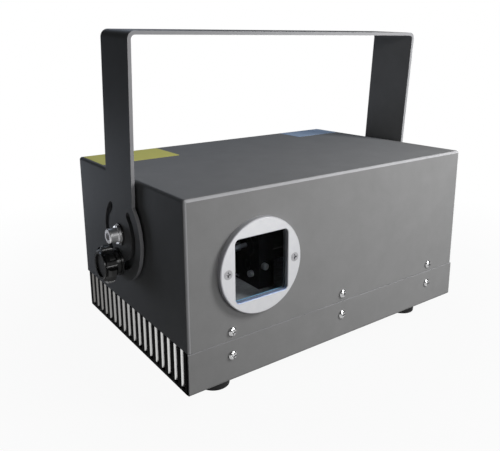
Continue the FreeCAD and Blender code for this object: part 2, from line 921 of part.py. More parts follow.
def make_scanner_block():
    """The L-shaped mount: one wall beside the mirrors and one behind them, each bored for a motor."""
    right = block_face_x + block_wall
    back = block_back_y + block_depth
    left = aperture_x - block_left
    front = scan_y - block_front
    outline = [Vector(block_face_x, front, base_top), Vector(right, front, base_top),
               Vector(right, back, base_top), Vector(left, back, base_top),
               Vector(left, block_back_y, base_top), Vector(block_face_x, block_back_y, base_top)]
    block = polygon(outline, Z, block_rise)
    top_edges = [edge for edge in block.Edges if edge.BoundBox.ZMin > base_top]
    block = block.makeChamfer(block_edge, top_edges)
    bore = motor_radius + motor_clearance
    across = block_wall + 2 * overrun
    cuts = [rod(Vector(aperture_x, block_back_y - overrun, beam_z), Y, bore, across),
            rod(Vector(block_face_x - overrun, scan_y, aperture_z), X, bore, across),
            rod(Vector(block_face_x - overrun, scan_y, beam_z), X, beam_radius, across)]
    for place, outward in scanner_screw_places():
        cuts.append(rod(place, -outward, scanner_screw_radius + screw_clearance, scanner_screw_grip))
    return block.cut(cuts)


def make_scanner_screws():
    screw = socket_screw(scanner_screw_radius, scanner_screw_head_radius, scanner_screw_head,
                         scanner_screw_grip)
    return group([stand(screw, place, outward) for place, outward in scanner_screw_places()])


def make_motor():
    """A galvanometer motor along +Z from its nose, with a wider position-sensor cap."""
    body = rod(ORIGIN, Z, motor_radius, motor_length)
    body = body.fuse(rod(Z * motor_length, Z, motor_cap_radius, motor_cap_length))
    return body.cut(rod(ORIGIN, Z, shaft_radius + shaft_clearance, shaft_bore))


def motor_noses():
    """Nose place and direction of the lower (side to side) and upper (up and down) scanners."""
    lower = Vector(aperture_x, block_back_y - motor_nose, beam_z)
    upper = Vector(block_face_x - motor_nose, scan_y, aperture_z)
    return {"x": (lower, Y), "y": (upper, X)}


def mirror_centres():
    return {"x": Vector(aperture_x, scan_y, beam_z), "y": Vector(aperture_x, scan_y, aperture_z)}


def slit_frame(scanner):
    """Directions across the mirror's face and through it, at rest."""
    turn = {"x": FreeCAD.Rotation(Y, mirror_turn_deg), "y": FreeCAD.Rotation(X, -mirror_turn_deg)}[scanner]
    across = {"x": X, "y": Y}[scanner]
    return turn.multVec(across), turn.multVec(Z)


def mirror_slab(scanner, width, thickness, start, end):
    """A slab in the mirror's plane, from start to end along the shaft."""
    centre = mirror_centres()[scanner]
    along = motor_noses()[scanner][1]
    across, through = slit_frame(scanner)
    middle = centre + along * ((start + end) / 2) - through * (thickness / 2)
    half_a = along * ((end - start) / 2)
    half_w = across * (width / 2)
    corners = [middle - half_a - half_w, middle + half_a - half_w,
               middle + half_a + half_w, middle - half_a + half_w]
    return polygon(corners, through, thickness)


def make_shaft(scanner):
    """A scanner's shaft with the slotted clip that grips its mirror."""
    nose, along = motor_noses()[scanner]
    centre = mirror_centres()[scanner]
    reach = (nose - centre).dot(along)
    start = mirror_length / 2 - clip_grip
    shaft = rod(centre + along * start, along, shaft_radius, reach - start + shaft_bore * shaft_end_share)
    shaft = shaft.fuse(rod(centre + along * start, along, clip_radius, clip_length))
    slit = mirror_slab(scanner, 2 * (clip_radius + overrun), mirror_thickness + 2 * mirror_clearance,
                       start - overrun, mirror_length / 2 + mirror_clearance)
    return shaft.cut(slit)



def make_mirror(scanner):
    return mirror_slab(scanner, mirror_width, mirror_thickness, -mirror_length / 2, mirror_length / 2)


# Lasers and the plates that join their beams

def make_laser():
    """A laser module that fires along +Y from y = 0, its beam at z = 0."""
    low = base_top - beam_z
    half = laser_width / 2
    body = span_box((-half, half), (-laser_length, 0), (low, low + laser_height))
    upright = [edge for edge in body.Edges if edge.BoundBox.ZLength > laser_edge]
    body = body.makeFillet(laser_edge, upright)
    body = body.fuse(rod(ORIGIN, Y, laser_barrel_radius, laser_barrel))
    wide = half + laser_flange
    body = body.fuse(span_box((-wide, wide), (-laser_length, 0), (low, low + laser_flange_height)))
    pitch = laser_length / (laser_fin_count + 1)
    fins = []
    for number in range(laser_fin_count):
        middle = -pitch * (number + 1)
        fins.append(span_box((-wide, wide), (middle - laser_fin_gap / 2, middle + laser_fin_gap / 2),
                             (low + laser_height - laser_fin_depth, low + laser_height + overrun)))
    return body.cut(fins)


def laser_places():
    """Front face of each module and the way it fires."""
    behind = scan_y + laser_setback
    return {"red": (Vector(red_place, scan_y, beam_z), 90),
            "green": (Vector(green_place, behind, beam_z), 180),
            "blue": (Vector(blue_place, behind, beam_z), 180)}


def place_laser(colour):
    place, turn = laser_places()[colour]
    laser = make_laser()
    laser.Placement = FreeCAD.Placement(place, FreeCAD.Rotation(Z, turn))
    return laser


def dichroic_places():
    return (Vector(green_place, scan_y, base_top), Vector(blue_place, scan_y, base_top))


def slanted_slab(middle, width, thickness, height):
    """An upright slab at 45 degrees that turns a beam from -Y to -X."""
    across = (X - Y).normalize()
    through = (X + Y).normalize()
    low = middle - through * (thickness / 2)
    half = across * (width / 2)
    corners = [low - half, low + half, low + half + Z * height, low - half + Z * height]
    return polygon(corners, through, thickness)


def make_dichroic_holders():
    """Posts with a slanted slit for the plate and crossing bores for the beams."""
    height = beam_z - base_top + holder_rise
    half = holder_width / 2
    posts = []
    for place in dichroic_places():
        post = span_box((place.x - half, place.x + half), (place.y - half, place.y + half),
                        (base_top, base_top + height))
        gap = plate_thickness + 2 * plate_clearance
        slit = slanted_slab(place + Z * holder_floor, 2 * holder_width, gap, height)
        through = holder_width + 2 * overrun
        along_x = rod(Vector(place.x - half - overrun, place.y, beam_z), X, beam_radius, through)
        along_y = rod(Vector(place.x, place.y, beam_z), Y, beam_radius, through)
        posts.append(post.cut([slit, along_x, along_y]))
    return group([solid for post in posts for solid in post.Solids])


def make_dichroic_plates():
    height = beam_z - base_top + holder_rise - holder_floor
    return group([slanted_slab(place + Z * holder_floor, plate_width, plate_thickness, height)
                  for place in dichroic_places()])


# Electronics

def make_power_supply():
    """A caged supply with a stepped terminal end and rows of air holes in its lid."""
    x = (supply_x - supply_length / 2, supply_x + supply_length / 2)
    y = (supply_y - supply_width / 2, supply_y + supply_width / 2)
    top = pan_floor + supply_height
    case = span_box(x, y, (pan_floor, top))
    step = span_box((x[1] - supply_step_length, x[1] + overrun), (y[0] - overrun, y[1] + overrun),
                    (pan_floor + supply_step_height, top + overrun))
    holes = []
    for row_number in range(supply_vent_rows):
        for column in range(supply_vent_columns):
            place = Vector(supply_x + (column - supply_vent_columns / 2) * supply_vent_pitch,
                           supply_y + (row_number - (supply_vent_rows - 1) / 2) * supply_vent_pitch, top)
            bottom = place - Z * supply_vent_depth
            holes.append(rod(bottom, Z, supply_vent_radius, supply_vent_depth + overrun))
    return case.cut([step] + holes)


def make_driver_board(y):
    """A driver board with a finned sink along its edge and two capacitors."""
    low = pan_floor + standoff_height
    half_x = board_length / 2
    half_y = board_width / 2
    top = low + board_thickness
    board = span_box((board_x - half_x, board_x + half_x), (y - half_y, y + half_y), (low, top))
    sink_half = half_x * sink_length_share
    back = y + half_y
    sink = span_box((board_x - sink_half, board_x + sink_half), (back - sink_depth, back),
                    (top, top + sink_height))
    pitch = 2 * sink_half / sink_fins
    gaps = []
    for number in range(sink_fins - 1):
        middle = board_x - sink_half + pitch * (number + 1)
        gaps.append(span_box((middle - sink_gap / 2, middle + sink_gap / 2), (back - sink_depth, back),
                             (top + sink_floor, top + sink_height + overrun)))
    shape = board.fuse(sink.cut(gaps))
    for side in (-1, 1):
        place = Vector(board_x + side * board_length * can_share, y - board_width * can_share, top)
        shape = shape.fuse(rod(place, Z, can_radius, can_height))
    return shape


def make_board_standoffs():
    """Pillars under the two driver boards and behind the control board."""
    pillars = []
    for y in (galvo_board_y, laser_board_y):
        for side_x in (-1, 1):
            for side_y in (-1, 1):
                place = Vector(board_x + side_x * (board_length / 2 - standoff_inset),
                               y + side_y * (board_width / 2 - standoff_inset), pan_floor)
                pillars.append(rod(place, Z, standoff_radius, standoff_height))
    for x in (pillar_left_x, pillar_right_x):
        pillars.append(rod(Vector(x, panel_front, pillar_z), -Y, standoff_radius, main_board_gap))
    return group(pillars)


# Rear panel's fittings

def fan_screw_places():
    half = fan_screw_pitch / 2
    return [(fan_x + sx * half, fan_z + sz * half) for sx in (-1, 1) for sz in (-1, 1)]


def button_places():
    return [ilda_x + (number - (button_count - 1) / 2) * button_pitch for number in range(button_count)]


def make_main_board():
    """The control board behind the panel, with a switch under each menu button."""
    back = panel_front - main_board_gap
    x = (pillar_left_x - standoff_inset, pillar_right_x + standoff_inset)
    z = (ilda_z - dsub_flange_height / 2, button_z + button_reach)
    board = span_box(x, (back - board_thickness, back), z)
    switch_end = panel_front - button_flange_thickness - button_stem - button_travel - button_clearance
    half = switch_width / 2
    for place in button_places():
        switch = span_box((place - half, place + half), (back, switch_end),
                          (button_z - half, button_z + half))
        board = board.fuse(switch)
    return board


def make_display():
    """The display module, its window just proud of the panel."""
    window = front_plate(display_x, display_z, panel_front, display_width, display_height,
                         sheet, sheet + display_proud)
    height = display_height + 2 * display_bezel
    depth = main_board_gap
    body = front_plate(display_x, display_z, panel_front - depth, display_body_width, height, sheet, depth)
    return window.fuse(body)


def make_menu_button(x):
    """A round push button with a keeper flange behind the panel and a stem to its switch."""
    place = Vector(x, panel_front, button_z)
    cap = rod(place, Y, button_radius, sheet + button_proud)
    rim = [edge for edge in cap.Edges if edge.BoundBox.YMin > panel_back]
    cap = cap.makeFillet(button_edge, rim)
    back = place - Y * button_flange_thickness
    cap = cap.fuse(rod(back, Y, button_reach, button_flange_thickness))
    return cap.fuse(rod(back, -Y, button_radius - button_flange, button_stem))


def make_fan_frame():
    """Square fan housing with a round duct, corner holes, struts and a motor post."""
    z = fan_z
    front = panel_front - fan_depth
    frame = front_plate(fan_x, z, front, fan_width, fan_width, fan_corner, fan_depth)
    cuts = [rod(Vector(fan_x, front - overrun, z), Y, fan_bore, fan_depth + 2 * overrun)]
    for x, screw_z in fan_screw_places():
        hole = screw_radius + screw_clearance
        cuts.append(rod(Vector(x, front - overrun, screw_z), Y, hole, fan_depth + 2 * overrun))
    frame = frame.cut(cuts)
    for turn in (45, 135):
        strut = span_box((-fan_bore - fan_root_sink, fan_bore + fan_root_sink), (0, fan_strut_thickness),
                         (-fan_strut / 2, fan_strut / 2))
        strut.Placement = FreeCAD.Placement(Vector(fan_x, front, z), FreeCAD.Rotation(Y, turn))
        frame = frame.fuse(strut)
    post = fan_hub_radius - fan_hub_wall - fan_motor_gap
    frame = frame.fuse(rod(Vector(fan_x, front, z), Y, post, fan_strut_thickness + fan_axial_gap))
    pin_length = fan_strut_thickness + fan_axial_gap + fan_hub_depth - fan_hub_wall
    return frame.fuse(rod(Vector(fan_x, front, z), Y, fan_pin_radius, pin_length))


def blade_section(radius, pitch_deg, depth):
    """One section of a blade: a thin slanted strip on the plane at a radius."""
    slope = math.radians(pitch_deg)
    rise = depth / 2
    run = rise / math.tan(slope)
    half = fan_blade_thickness / 2 / math.sin(slope)
    points = [Vector(radius, -rise, -run - half), Vector(radius, -rise, -run + half),
              Vector(radius, rise, run + half), Vector(radius, rise, run - half)]
    return Part.makePolygon(points + [points[0]])


def make_fan_rotor():
    """A cup-shaped hub that runs on the frame's pin, with twisted blades."""
    front = panel_front - fan_depth + fan_strut_thickness + fan_axial_gap
    start = Vector(fan_x, front, fan_z)
    cup = ring(start, Y, fan_hub_radius, fan_hub_radius - fan_hub_wall, fan_hub_depth)
    roof = start + Y * (fan_hub_depth - fan_hub_wall)
    cup = cup.fuse(rod(roof, Y, fan_hub_radius, fan_hub_wall))
    bore = fan_pin_radius + shaft_clearance
    boss_length = fan_hub_depth - fan_axial_gap
    boss = ring(start + Y * fan_axial_gap, Y, fan_pin_radius + fan_hub_wall, bore, boss_length)
    cup = cup.fuse(boss).cut(rod(start, Y, bore, fan_hub_depth - fan_hub_wall))
    root = blade_section(fan_hub_radius - fan_root_sink, fan_root_deg, fan_blade_depth)
    tip = blade_section(fan_bore - fan_tip_gap, fan_tip_deg, fan_blade_depth)
    blade = Part.makeLoft([root, tip], True, True)
    middle = Vector(fan_x, front + fan_hub_depth / 2, fan_z)
    for number in range(fan_blades):
        copy = blade.copy()
        copy.Placement = FreeCAD.Placement(middle, FreeCAD.Rotation(Y, 360 * number / fan_blades))
        cup = cup.fuse(copy)
    bound = rod(Vector(fan_x, front - overrun, fan_z), Y, fan_bore - fan_tip_gap, fan_depth)
    return cup.common(bound)


def make_fan_guard():
    """A wire guard: round wires on a cross of straight ones that end in screw eyes."""
    face = panel_back + guard_stand
    middle = Vector(fan_x, face, fan_z)
    reach = fan_screw_pitch / math.sqrt(2) - screw_head_radius - guard_end_gap
    guard = None
    for turn in (45, 135):
        direction = FreeCAD.Rotation(Y, turn).multVec(X)
        wire = rod(middle - direction * reach, direction, guard_wire, 2 * reach)
        guard = wire if guard is None else guard.fuse(wire)
    for number in range(guard_rings):
        radius = fan_bore * guard_ring_share * (number + 1) / guard_rings
        guard = guard.fuse(Part.makeTorus(radius, guard_wire, middle + Y * guard_weld, Y))
    eyes = []
    holes = []
    for x, z in fan_screw_places():
        place = Vector(x, panel_back, z)
        eyes.append(rod(place, Y, guard_eye_radius, guard_eye_thickness))
        holes.append(rod(place, Y, screw_radius + screw_clearance, guard_eye_thickness + overrun))
    return guard.fuse(eyes).cut(holes)


def make_fan_screws():
    seat = panel_back + guard_eye_thickness
    length = guard_eye_thickness + sheet + fan_depth * fan_screw_share
    return group([stand(cross_screw(length), Vector(x, seat, z), Y) for x, z in fan_screw_places()])



def inlet_outline(start, depth):
    """The mains mouth: a rectangle with its two upper corners cut off."""
    half = inlet_mouth_width / 2
    tall = inlet_mouth_height / 2
    cut = inlet_mouth_chamfer
    z = connector_z
    points = [(-half, -tall), (half, -tall), (half, tall - cut), (half - cut, tall),
              (cut - half, tall), (-half, tall - cut)]
    return polygon([Vector(inlet_x + u, start, z + v) for u, v in points], Y, depth)


def make_power_inlet():
    z = connector_z
    flange = front_plate(inlet_x, z, panel_back, inlet_flange_width, inlet_flange_height,
                         inlet_flange_corner, inlet_flange)
    body = front_plate(inlet_x, z, panel_back - inlet_body_depth, inlet_body_width, inlet_body_height,
                       sheet, inlet_body_depth)
    face = panel_back + inlet_flange
    mouth = inlet_outline(face - inlet_mouth_depth, inlet_mouth_depth + overrun)
    cuts = [mouth]
    for side in (-1, 1):
        start = Vector(inlet_x + side * inlet_screw_pitch / 2, panel_back, z)
        cuts.append(rod(start, Y, screw_radius + screw_clearance, inlet_flange + overrun))
    return flange.fuse(body).cut(cuts)


def xlr_flange_plate(x):
    plate = front_plate(x, connector_z, panel_back, xlr_flange_width, xlr_flange_height,
                        xlr_flange_corner, xlr_flange)
    holes = []
    for side in (-1, 1):
        place = Vector(x + side * (xlr_flange_width / 2 - xlr_flange_corner), panel_back,
                       connector_z + side * (xlr_flange_height / 2 - xlr_flange_corner))
        holes.append(rod(place, Y, screw_radius + screw_clearance, xlr_flange + overrun))
    return plate.cut(holes)


def xlr_body(x):
    start = Vector(x, panel_back - xlr_body_depth, connector_z)
    return rod(start, Y, xlr_body_radius, xlr_body_depth)


def xlr_pin_offsets():
    """The three contacts, as (across, up) from the connector's middle."""
    offsets = []
    for angle in (30, 150, 270):
        turn = math.radians(angle)
        offsets.append((xlr_pin_circle * math.cos(turn), xlr_pin_circle * math.sin(turn)))
    return offsets


def make_dmx_in():
    """Input: a deep round mouth with pins."""
    face = panel_back + xlr_flange
    mouth = rod(Vector(dmx_in_x, face - xlr_mouth_depth, connector_z), Y, xlr_mouth_radius,
                xlr_mouth_depth + overrun)
    return xlr_flange_plate(dmx_in_x).fuse(xlr_body(dmx_in_x)).cut(mouth)


def make_dmx_out():
    """Output: a round core with three contact holes inside an open ring."""
    z = connector_z
    face = panel_back + xlr_flange
    deep = Vector(dmx_out_x, face - xlr_hole_depth, z)
    groove = ring(deep, Y, xlr_mouth_radius, xlr_core_radius, xlr_hole_depth + overrun)
    cuts = [groove]
    for u, v in xlr_pin_offsets():
        cuts.append(rod(deep + X * u + Z * v, Y, xlr_hole_radius, xlr_hole_depth + overrun))
    return xlr_flange_plate(dmx_out_x).fuse(xlr_body(dmx_out_x)).cut(cuts)


def make_connector_pins():
    """Mains blades and control pins, seated on the floors of their mouths."""
    pins = []
    z = connector_z
    floor = panel_back + inlet_flange - inlet_mouth_depth
    half_t = inlet_pin_thickness / 2
    half_w = inlet_pin_width / 2
    for step, drop in ((-1, 0), (0, 1), (1, 0)):
        x = inlet_x + step * inlet_pin_pitch
        middle = z + drop * inlet_earth_drop - inlet_earth_drop / 2
        pins.append(span_box((x - half_t, x + half_t), (floor, floor + inlet_pin_length),
                             (middle - half_w, middle + half_w)))
    floor = panel_back + xlr_flange - xlr_mouth_depth
    for u, v in xlr_pin_offsets():
        pins.append(rod(Vector(dmx_in_x + u, floor, z + v), Y, xlr_pin_radius, xlr_pin_length))
    return group(pins)


def dsub_outline(start, width, height, depth):
    """The D-shaped prism: its upper side is wider than its lower side."""
    half = width / 2
    tall = height / 2
    low = half - dsub_shell_slope
    z = ilda_z
    points = [(-low, -tall), (low, -tall), (half, tall), (-half, tall)]
    return polygon([Vector(ilda_x + u, start, z + v) for u, v in points], Y, depth)


def make_ilda_socket():
    """Show-control socket: a plated D shell round a dark core, with jack posts at both ends."""
    z = ilda_z
    back = panel_front - main_board_gap
    flange = front_plate(ilda_x, z, panel_front - dsub_flange, dsub_flange_width, dsub_flange_height,
                         dsub_flange, dsub_flange)
    rear = dsub_outline(back, dsub_shell_width, dsub_shell_height, main_board_gap)
    shell = dsub_outline(panel_front, dsub_shell_width, dsub_shell_height, sheet + dsub_shell_out)
    wall = 2 * dsub_shell_wall
    dish = dsub_outline(panel_back + dsub_shell_out - dsub_core_sink, dsub_shell_width - wall,
                        dsub_shell_height - wall, dsub_core_sink + overrun)
    socket = flange.fuse([rear, shell]).cut(dish)
    for side in (-1, 1):
        place = Vector(ilda_x + side * dsub_post_pitch / 2, panel_front, z)
        socket = socket.fuse(rod(place, Y, dsub_post_hole, sheet))
        post = hexagon(place + Y * sheet, Y, X, 2 * dsub_post_radius, dsub_post_out)
        bore = rod(place + Y * (sheet + dsub_post_floor), Y, dsub_post_hole, dsub_post_out)
        socket = socket.fuse(post.cut(bore))
    return socket


def make_key_switch():
    """Lock barrel with a collar outside the panel and a nut inside it."""
    place = Vector(key_x, panel_back, key_z)
    collar = turned([(0, 0), (key_collar_radius, 0), (key_collar_radius, key_collar - key_collar_chamfer),
                     (key_collar_radius - key_collar_chamfer, key_collar), (0, key_collar)])
    body = stand(collar, place, Y).fuse(rod(place, -Y, key_barrel_radius, key_barrel_length))
    nut = hexagon(place - Y * sheet, -Y, X, key_nut_width, key_nut)
    face = place + Y * key_collar
    well = rod(face - Y * key_plug_depth, Y, key_plug_radius + key_plug_clearance, key_plug_depth + overrun)
    return body.fuse(nut).cut(well)


def make_key():
    """The lock's plug with its key: a flat neck and a round-cornered bow with a ring hole."""
    face = Vector(key_x, panel_back + key_collar, key_z)
    plug = rod(face - Y * key_plug_depth, Y, key_plug_radius, key_plug_depth)
    half_t = key_bow_thickness / 2
    neck = span_box((key_x - half_t, key_x + half_t), (face.y - overrun, face.y + key_neck + overrun),
                    (face.z - key_neck_width / 2, face.z + key_neck_width / 2))
    bow_middle = Vector(key_x - half_t, face.y + key_neck + key_bow_length / 2, face.z)
    bow = rounded_face(bow_middle, Y, Z, key_bow_length, key_bow_width, key_bow_corner)
    bow = bow.extrude(X * key_bow_thickness)
    hole_place = bow_middle + Y * (key_bow_length / 2 - key_bow_corner) - X * overrun
    hole = rod(hole_place, X, key_hole_radius, key_bow_thickness + 2 * overrun)
    return plug.fuse([neck, bow]).cut(hole)


# Yoke, pivots and clamp knobs

def arc_slot(radius, width, half_deg, thickness):
    """A round-ended slot along an arc, centred straight below the axis, cut along X from x = 0."""
    def point(reach, angle_deg):
        turn = math.radians(angle_deg)
        return Vector(0, reach * math.sin(turn), -reach * math.cos(turn))
    outer = radius + width / 2
    inner = radius - width / 2
    cap_deg = math.degrees(width / 2 / radius)
    edges = [Part.Arc(point(outer, -half_deg), point(outer, 0), point(outer, half_deg)),
             Part.Arc(point(outer, half_deg), point(radius, half_deg + cap_deg), point(inner, half_deg)),
             Part.Arc(point(inner, half_deg), point(inner, 0), point(inner, -half_deg)),
             Part.Arc(point(inner, -half_deg), point(radius, -half_deg - cap_deg), point(outer, -half_deg))]
    wire = Part.Wire([edge.toShape() for edge in edges])
    return Part.Face(wire).extrude(X * thickness)


def make_yoke():
    """A strap bent into an upside-down U, with a round slotted ear at each end."""
    half = yoke_strap / 2
    top = yoke_rise
    outer = span_box((-arm_outside, arm_outside), (-half, half), (0, top))
    bends = [edge for edge in outer.Edges if edge.BoundBox.ZMin > top / 2 and edge.BoundBox.YLength > half]
    outer = outer.makeFillet(yoke_bend, bends)
    inner_top = top - yoke_thickness
    hollow = span_box((-arm_inside, arm_inside), (-half - overrun, half + overrun), (-overrun, inner_top))
    bends = [edge for edge in hollow.Edges if edge.BoundBox.ZMin > top / 2 and edge.BoundBox.YLength > half]
    hollow = hollow.makeFillet(yoke_bend - yoke_thickness, bends)
    yoke = outer.cut(hollow)
    cuts = [rod(Z * (inner_top - overrun), Z, clamp_hole_radius, yoke_thickness + 2 * overrun)]
    for start in (-arm_outside, arm_inside):
        yoke = yoke.fuse(rod(X * start, X, ear_radius, yoke_thickness))
        slot = arc_slot(slot_radius, slot_width, slot_half_deg, yoke_thickness + 2 * overrun)
        slot.translate(X * (start - overrun))
        cuts.append(slot)
        bore = pivot_radius + pivot_clearance
        cuts.append(rod(X * (start - overrun), X, bore, yoke_thickness + 2 * overrun))
    yoke = yoke.removeSplitter().cut(cuts)
    yoke.translate(Z * pivot_z)
    yoke.rotate(Z * pivot_z, X, yoke_tilt_deg)
    return yoke


def washer(start, outer, thickness):
    """A flat washer on the pivot's axis, on the right side."""
    return ring(Vector(start, 0, pivot_z), X, outer, pivot_radius + screw_clearance, thickness)


def both_sides(piece):
    return group([piece, mirrored(piece)])


def make_pivot_pads():
    """Black plastic washers on both faces of each arm."""
    inner = washer(cover_half, pad_radius, yoke_gap)
    outer = washer(arm_outside, pad_radius, pad_thickness)
    return group([inner, outer, mirrored(inner), mirrored(outer)])


def make_pivot_spring_washers():
    """Split spring washers, with a slanted cut."""
    start = arm_outside + pad_thickness
    spring = washer(start, spring_radius, spring_thickness)
    cut = span_box((-spring_thickness, spring_thickness), (-spring_split / 2, spring_split / 2),
                   (0, spring_radius + overrun))
    cut.Placement = FreeCAD.Placement(Vector(start + spring_thickness / 2, 0, pivot_z),
                                      FreeCAD.Rotation(Z, spring_slant_deg))
    return both_sides(spring.cut(cut))


def make_pivot_bolts():
    """Socket-head bolts that pass the arm, the wall and the stiffener."""
    seat = arm_outside + pad_thickness + spring_thickness
    length = seat - wall_inside + stiffener_thickness + pivot_tail
    head = turned([(0, 0), (pivot_head_radius, 0), (pivot_head_radius, pivot_head - pivot_head_chamfer),
                   (pivot_head_radius - pivot_head_chamfer, pivot_head), (0, pivot_head)])
    bolt = head.fuse(rod(ORIGIN, -Z, pivot_radius, length))
    floor = Z * (pivot_head - pivot_socket_depth)
    socket = hexagon(floor, Z, X, pivot_socket, pivot_socket_depth + overrun)
    return both_sides(stand(bolt.cut(socket), Vector(seat, 0, pivot_z), X))


def make_pivot_plates():
    """Stiffening plates inside the side walls, tapped for the bolt and the knob's stud."""
    middle = Vector(wall_inside, knob_y / 2, (pivot_z + knob_z) / 2)
    plate = rounded_face(middle, Y, Z, stiffener_width, stiffener_height, stiffener_corner)
    plate = plate.extrude(X * -stiffener_thickness)
    start = wall_inside - stiffener_thickness - overrun
    through = stiffener_thickness + 2 * overrun
    holes = [rod(Vector(start, 0, pivot_z), X, pivot_radius + screw_clearance, through),
             rod(Vector(start, knob_y, knob_z), X, knob_stud_radius + knob_clearance, through)]
    return both_sides(plate.cut(holes))


def make_knob():
    """The lobed clamp knob on the right side: foot, collar, scalloped head and a dished face."""
    collar_end = knob_foot + knob_collar
    face = collar_end + knob_head
    dish_radius = knob_rim_radius - knob_rim_wall
    shoulder = knob_radius - knob_round
    profile = [(0, collar_end), (shoulder, collar_end), (knob_radius, collar_end + knob_round),
               (knob_radius, face - 2 * knob_round), (shoulder, face - knob_round),
               (knob_rim_radius, face - knob_round / 2), (knob_rim_radius, face), (0, face)]
    head = turned(profile)
    valleys = []
    for number in range(knob_lobes):
        turn = 2 * math.pi * number / knob_lobes
        place = Vector(knob_valley_place * math.cos(turn), knob_valley_place * math.sin(turn), collar_end)
        valleys.append(rod(place, Z, knob_valley_radius, knob_head))
    head = head.cut(valleys)
    foot = rod(ORIGIN, Z, knob_foot_radius, knob_foot)
    collar = rod(Z * knob_foot, Z, knob_collar_radius, knob_collar)
    knob = head.fuse([foot, collar])
    dish = rod(Z * (face - knob_dish), Z, dish_radius, knob_dish + overrun)
    bore = rod(-Z * overrun, Z, knob_stud_radius + shaft_clearance, knob_bore_depth + overrun)
    knob = knob.cut([dish, bore])
    return stand(knob, Vector(arm_outside + knob_clearance, knob_y, knob_z), X)


def make_knob_stud():
    """The knob's steel stud, through the arm's slot, the wall and the stiffener."""
    start = wall_inside - stiffener_thickness - stud_tail
    end = arm_outside + knob_bore_depth
    return rod(Vector(start, knob_y, knob_z), X, knob_stud_radius, end - start)


# The nodes

def make_nodes():
    knob = make_knob()
    stud = make_knob_stud()
    vent = make_vent_plate()
    rear_rows = (seam_z - seam_screw_down,)
    front_rows = (seam_z + seam_screw_up, seam_z - seam_screw_down)
    rear_bar_front = rear_bar_back - bar_thickness
    nodes = {
        "top_cover": make_top_cover(),
        "base_pan": make_base_pan(),
        "vent_plate_left": mirrored(vent),
        "vent_plate_right": vent,
        "rear_panel": make_rear_panel(),
        "front_join_bar": make_join_bar(front_inside, front_rows, front_bar_middle()),
        "rear_join_bar": make_join_bar(rear_bar_front, rear_rows, rear_bar_middle()),
        "seam_screws_front": make_seam_screws_front(),
        "rear_panel_screws": make_rear_panel_screws(),
        "press_nuts": make_press_nuts(),
        "foot_pads": make_foot_pads(),
        "foot_screws": make_foot_screws(),
        "aperture_ring": make_aperture_ring(),
        "window_glass": make_window_glass(),
        "aperture_screws": make_aperture_screws(),
        "optical_base": make_optical_base(),
        "optical_base_screws": make_optical_base_screws(),
        "scanner_block": make_scanner_block(),
        "scanner_screws": make_scanner_screws(),
        "power_supply": make_power_supply(),
        "galvo_driver": make_driver_board(galvo_board_y),
        "laser_driver": make_driver_board(laser_board_y),
        "main_board": make_main_board(),
        "board_standoffs": make_board_standoffs(),
        "dichroic_holders": make_dichroic_holders(),
        "dichroic_plates": make_dichroic_plates(),
        "fan_frame": make_fan_frame(),
        "fan_rotor": make_fan_rotor(),
        "fan_guard": make_fan_guard(),
        "fan_screws": make_fan_screws(),
        "power_inlet": make_power_inlet(),
        "dmx_in": make_dmx_in(),
        "dmx_out": make_dmx_out(),
        "ilda_socket": make_ilda_socket(),
        "connector_pins": make_connector_pins(),
        "display": make_display(),
        "key_switch": make_key_switch(),
        "key": make_key(),
        "yoke": make_yoke(),
        "pivot_bolts": make_pivot_bolts(),
        "pivot_spring_washers": make_pivot_spring_washers(),
        "pivot_pads": make_pivot_pads(),
        "pivot_plates": make_pivot_plates(),
        "knob_left": mirrored(knob),
        "knob_right": knob,
        "knob_stud_left": mirrored(stud),
        "knob_stud_right": stud,
    }
    for scanner in ("x", "y"):
        nose, along = motor_noses()[scanner]
        nodes[f"galvo_{scanner}_motor"] = stand(make_motor(), nose, along)
        nodes[f"galvo_{scanner}_shaft"] = make_shaft(scanner)
        nodes[f"galvo_{scanner}_mirror"] = make_mirror(scanner)
    for colour in ("red", "green", "blue"):
        nodes[f"laser_{colour}"] = place_laser(colour)
    for number, x in enumerate(button_places()):
        nodes[f"menu_button_{number + 1}"] = make_menu_button(x)
    return nodes


os.makedirs("parts", exist_ok=True)
for name, shape in make_nodes().items():
    shape.translate(-Y * middle_y)
    shape.exportStep(f"parts/{name}.step")
    print(name, len(shape.Solids), "solids", round(shape.Volume), "mm3", "valid", shape.isValid())
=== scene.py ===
# %% [markdown]
# # A laser show projector, dressed for its photograph
# The projector is a folded steel box on rubber feet. A round aluminium ring frames its glass
# window, mirror scanners sit behind the glass, and a strap yoke with two clamp knobs lets it stand
# or hang. All of its rigid shapes come from CAD and are loaded as a fixed frame. This lesson gives
# every piece the finish it has in a workshop, adds the thin labels, small fasteners and trim that
# CAD leaves out, and then lights and photographs the result.

# %% Load the frame
import json
import math

import bmesh
import bpy
from mathutils import Matrix, Vector


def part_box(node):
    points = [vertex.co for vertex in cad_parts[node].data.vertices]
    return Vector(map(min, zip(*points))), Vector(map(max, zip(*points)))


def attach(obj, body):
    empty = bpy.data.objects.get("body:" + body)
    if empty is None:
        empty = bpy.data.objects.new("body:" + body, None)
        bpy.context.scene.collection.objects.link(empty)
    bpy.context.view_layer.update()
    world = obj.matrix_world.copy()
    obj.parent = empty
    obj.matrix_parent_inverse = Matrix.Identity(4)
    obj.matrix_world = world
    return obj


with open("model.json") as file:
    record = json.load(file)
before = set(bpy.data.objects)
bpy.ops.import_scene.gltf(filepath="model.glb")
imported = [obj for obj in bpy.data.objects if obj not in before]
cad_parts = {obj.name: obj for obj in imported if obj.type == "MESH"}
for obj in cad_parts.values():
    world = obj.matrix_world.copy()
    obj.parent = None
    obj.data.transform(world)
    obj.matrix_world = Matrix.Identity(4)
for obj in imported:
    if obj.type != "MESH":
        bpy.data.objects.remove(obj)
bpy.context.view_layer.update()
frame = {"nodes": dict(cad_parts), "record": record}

MM = 0.001
nodes = frame["nodes"]

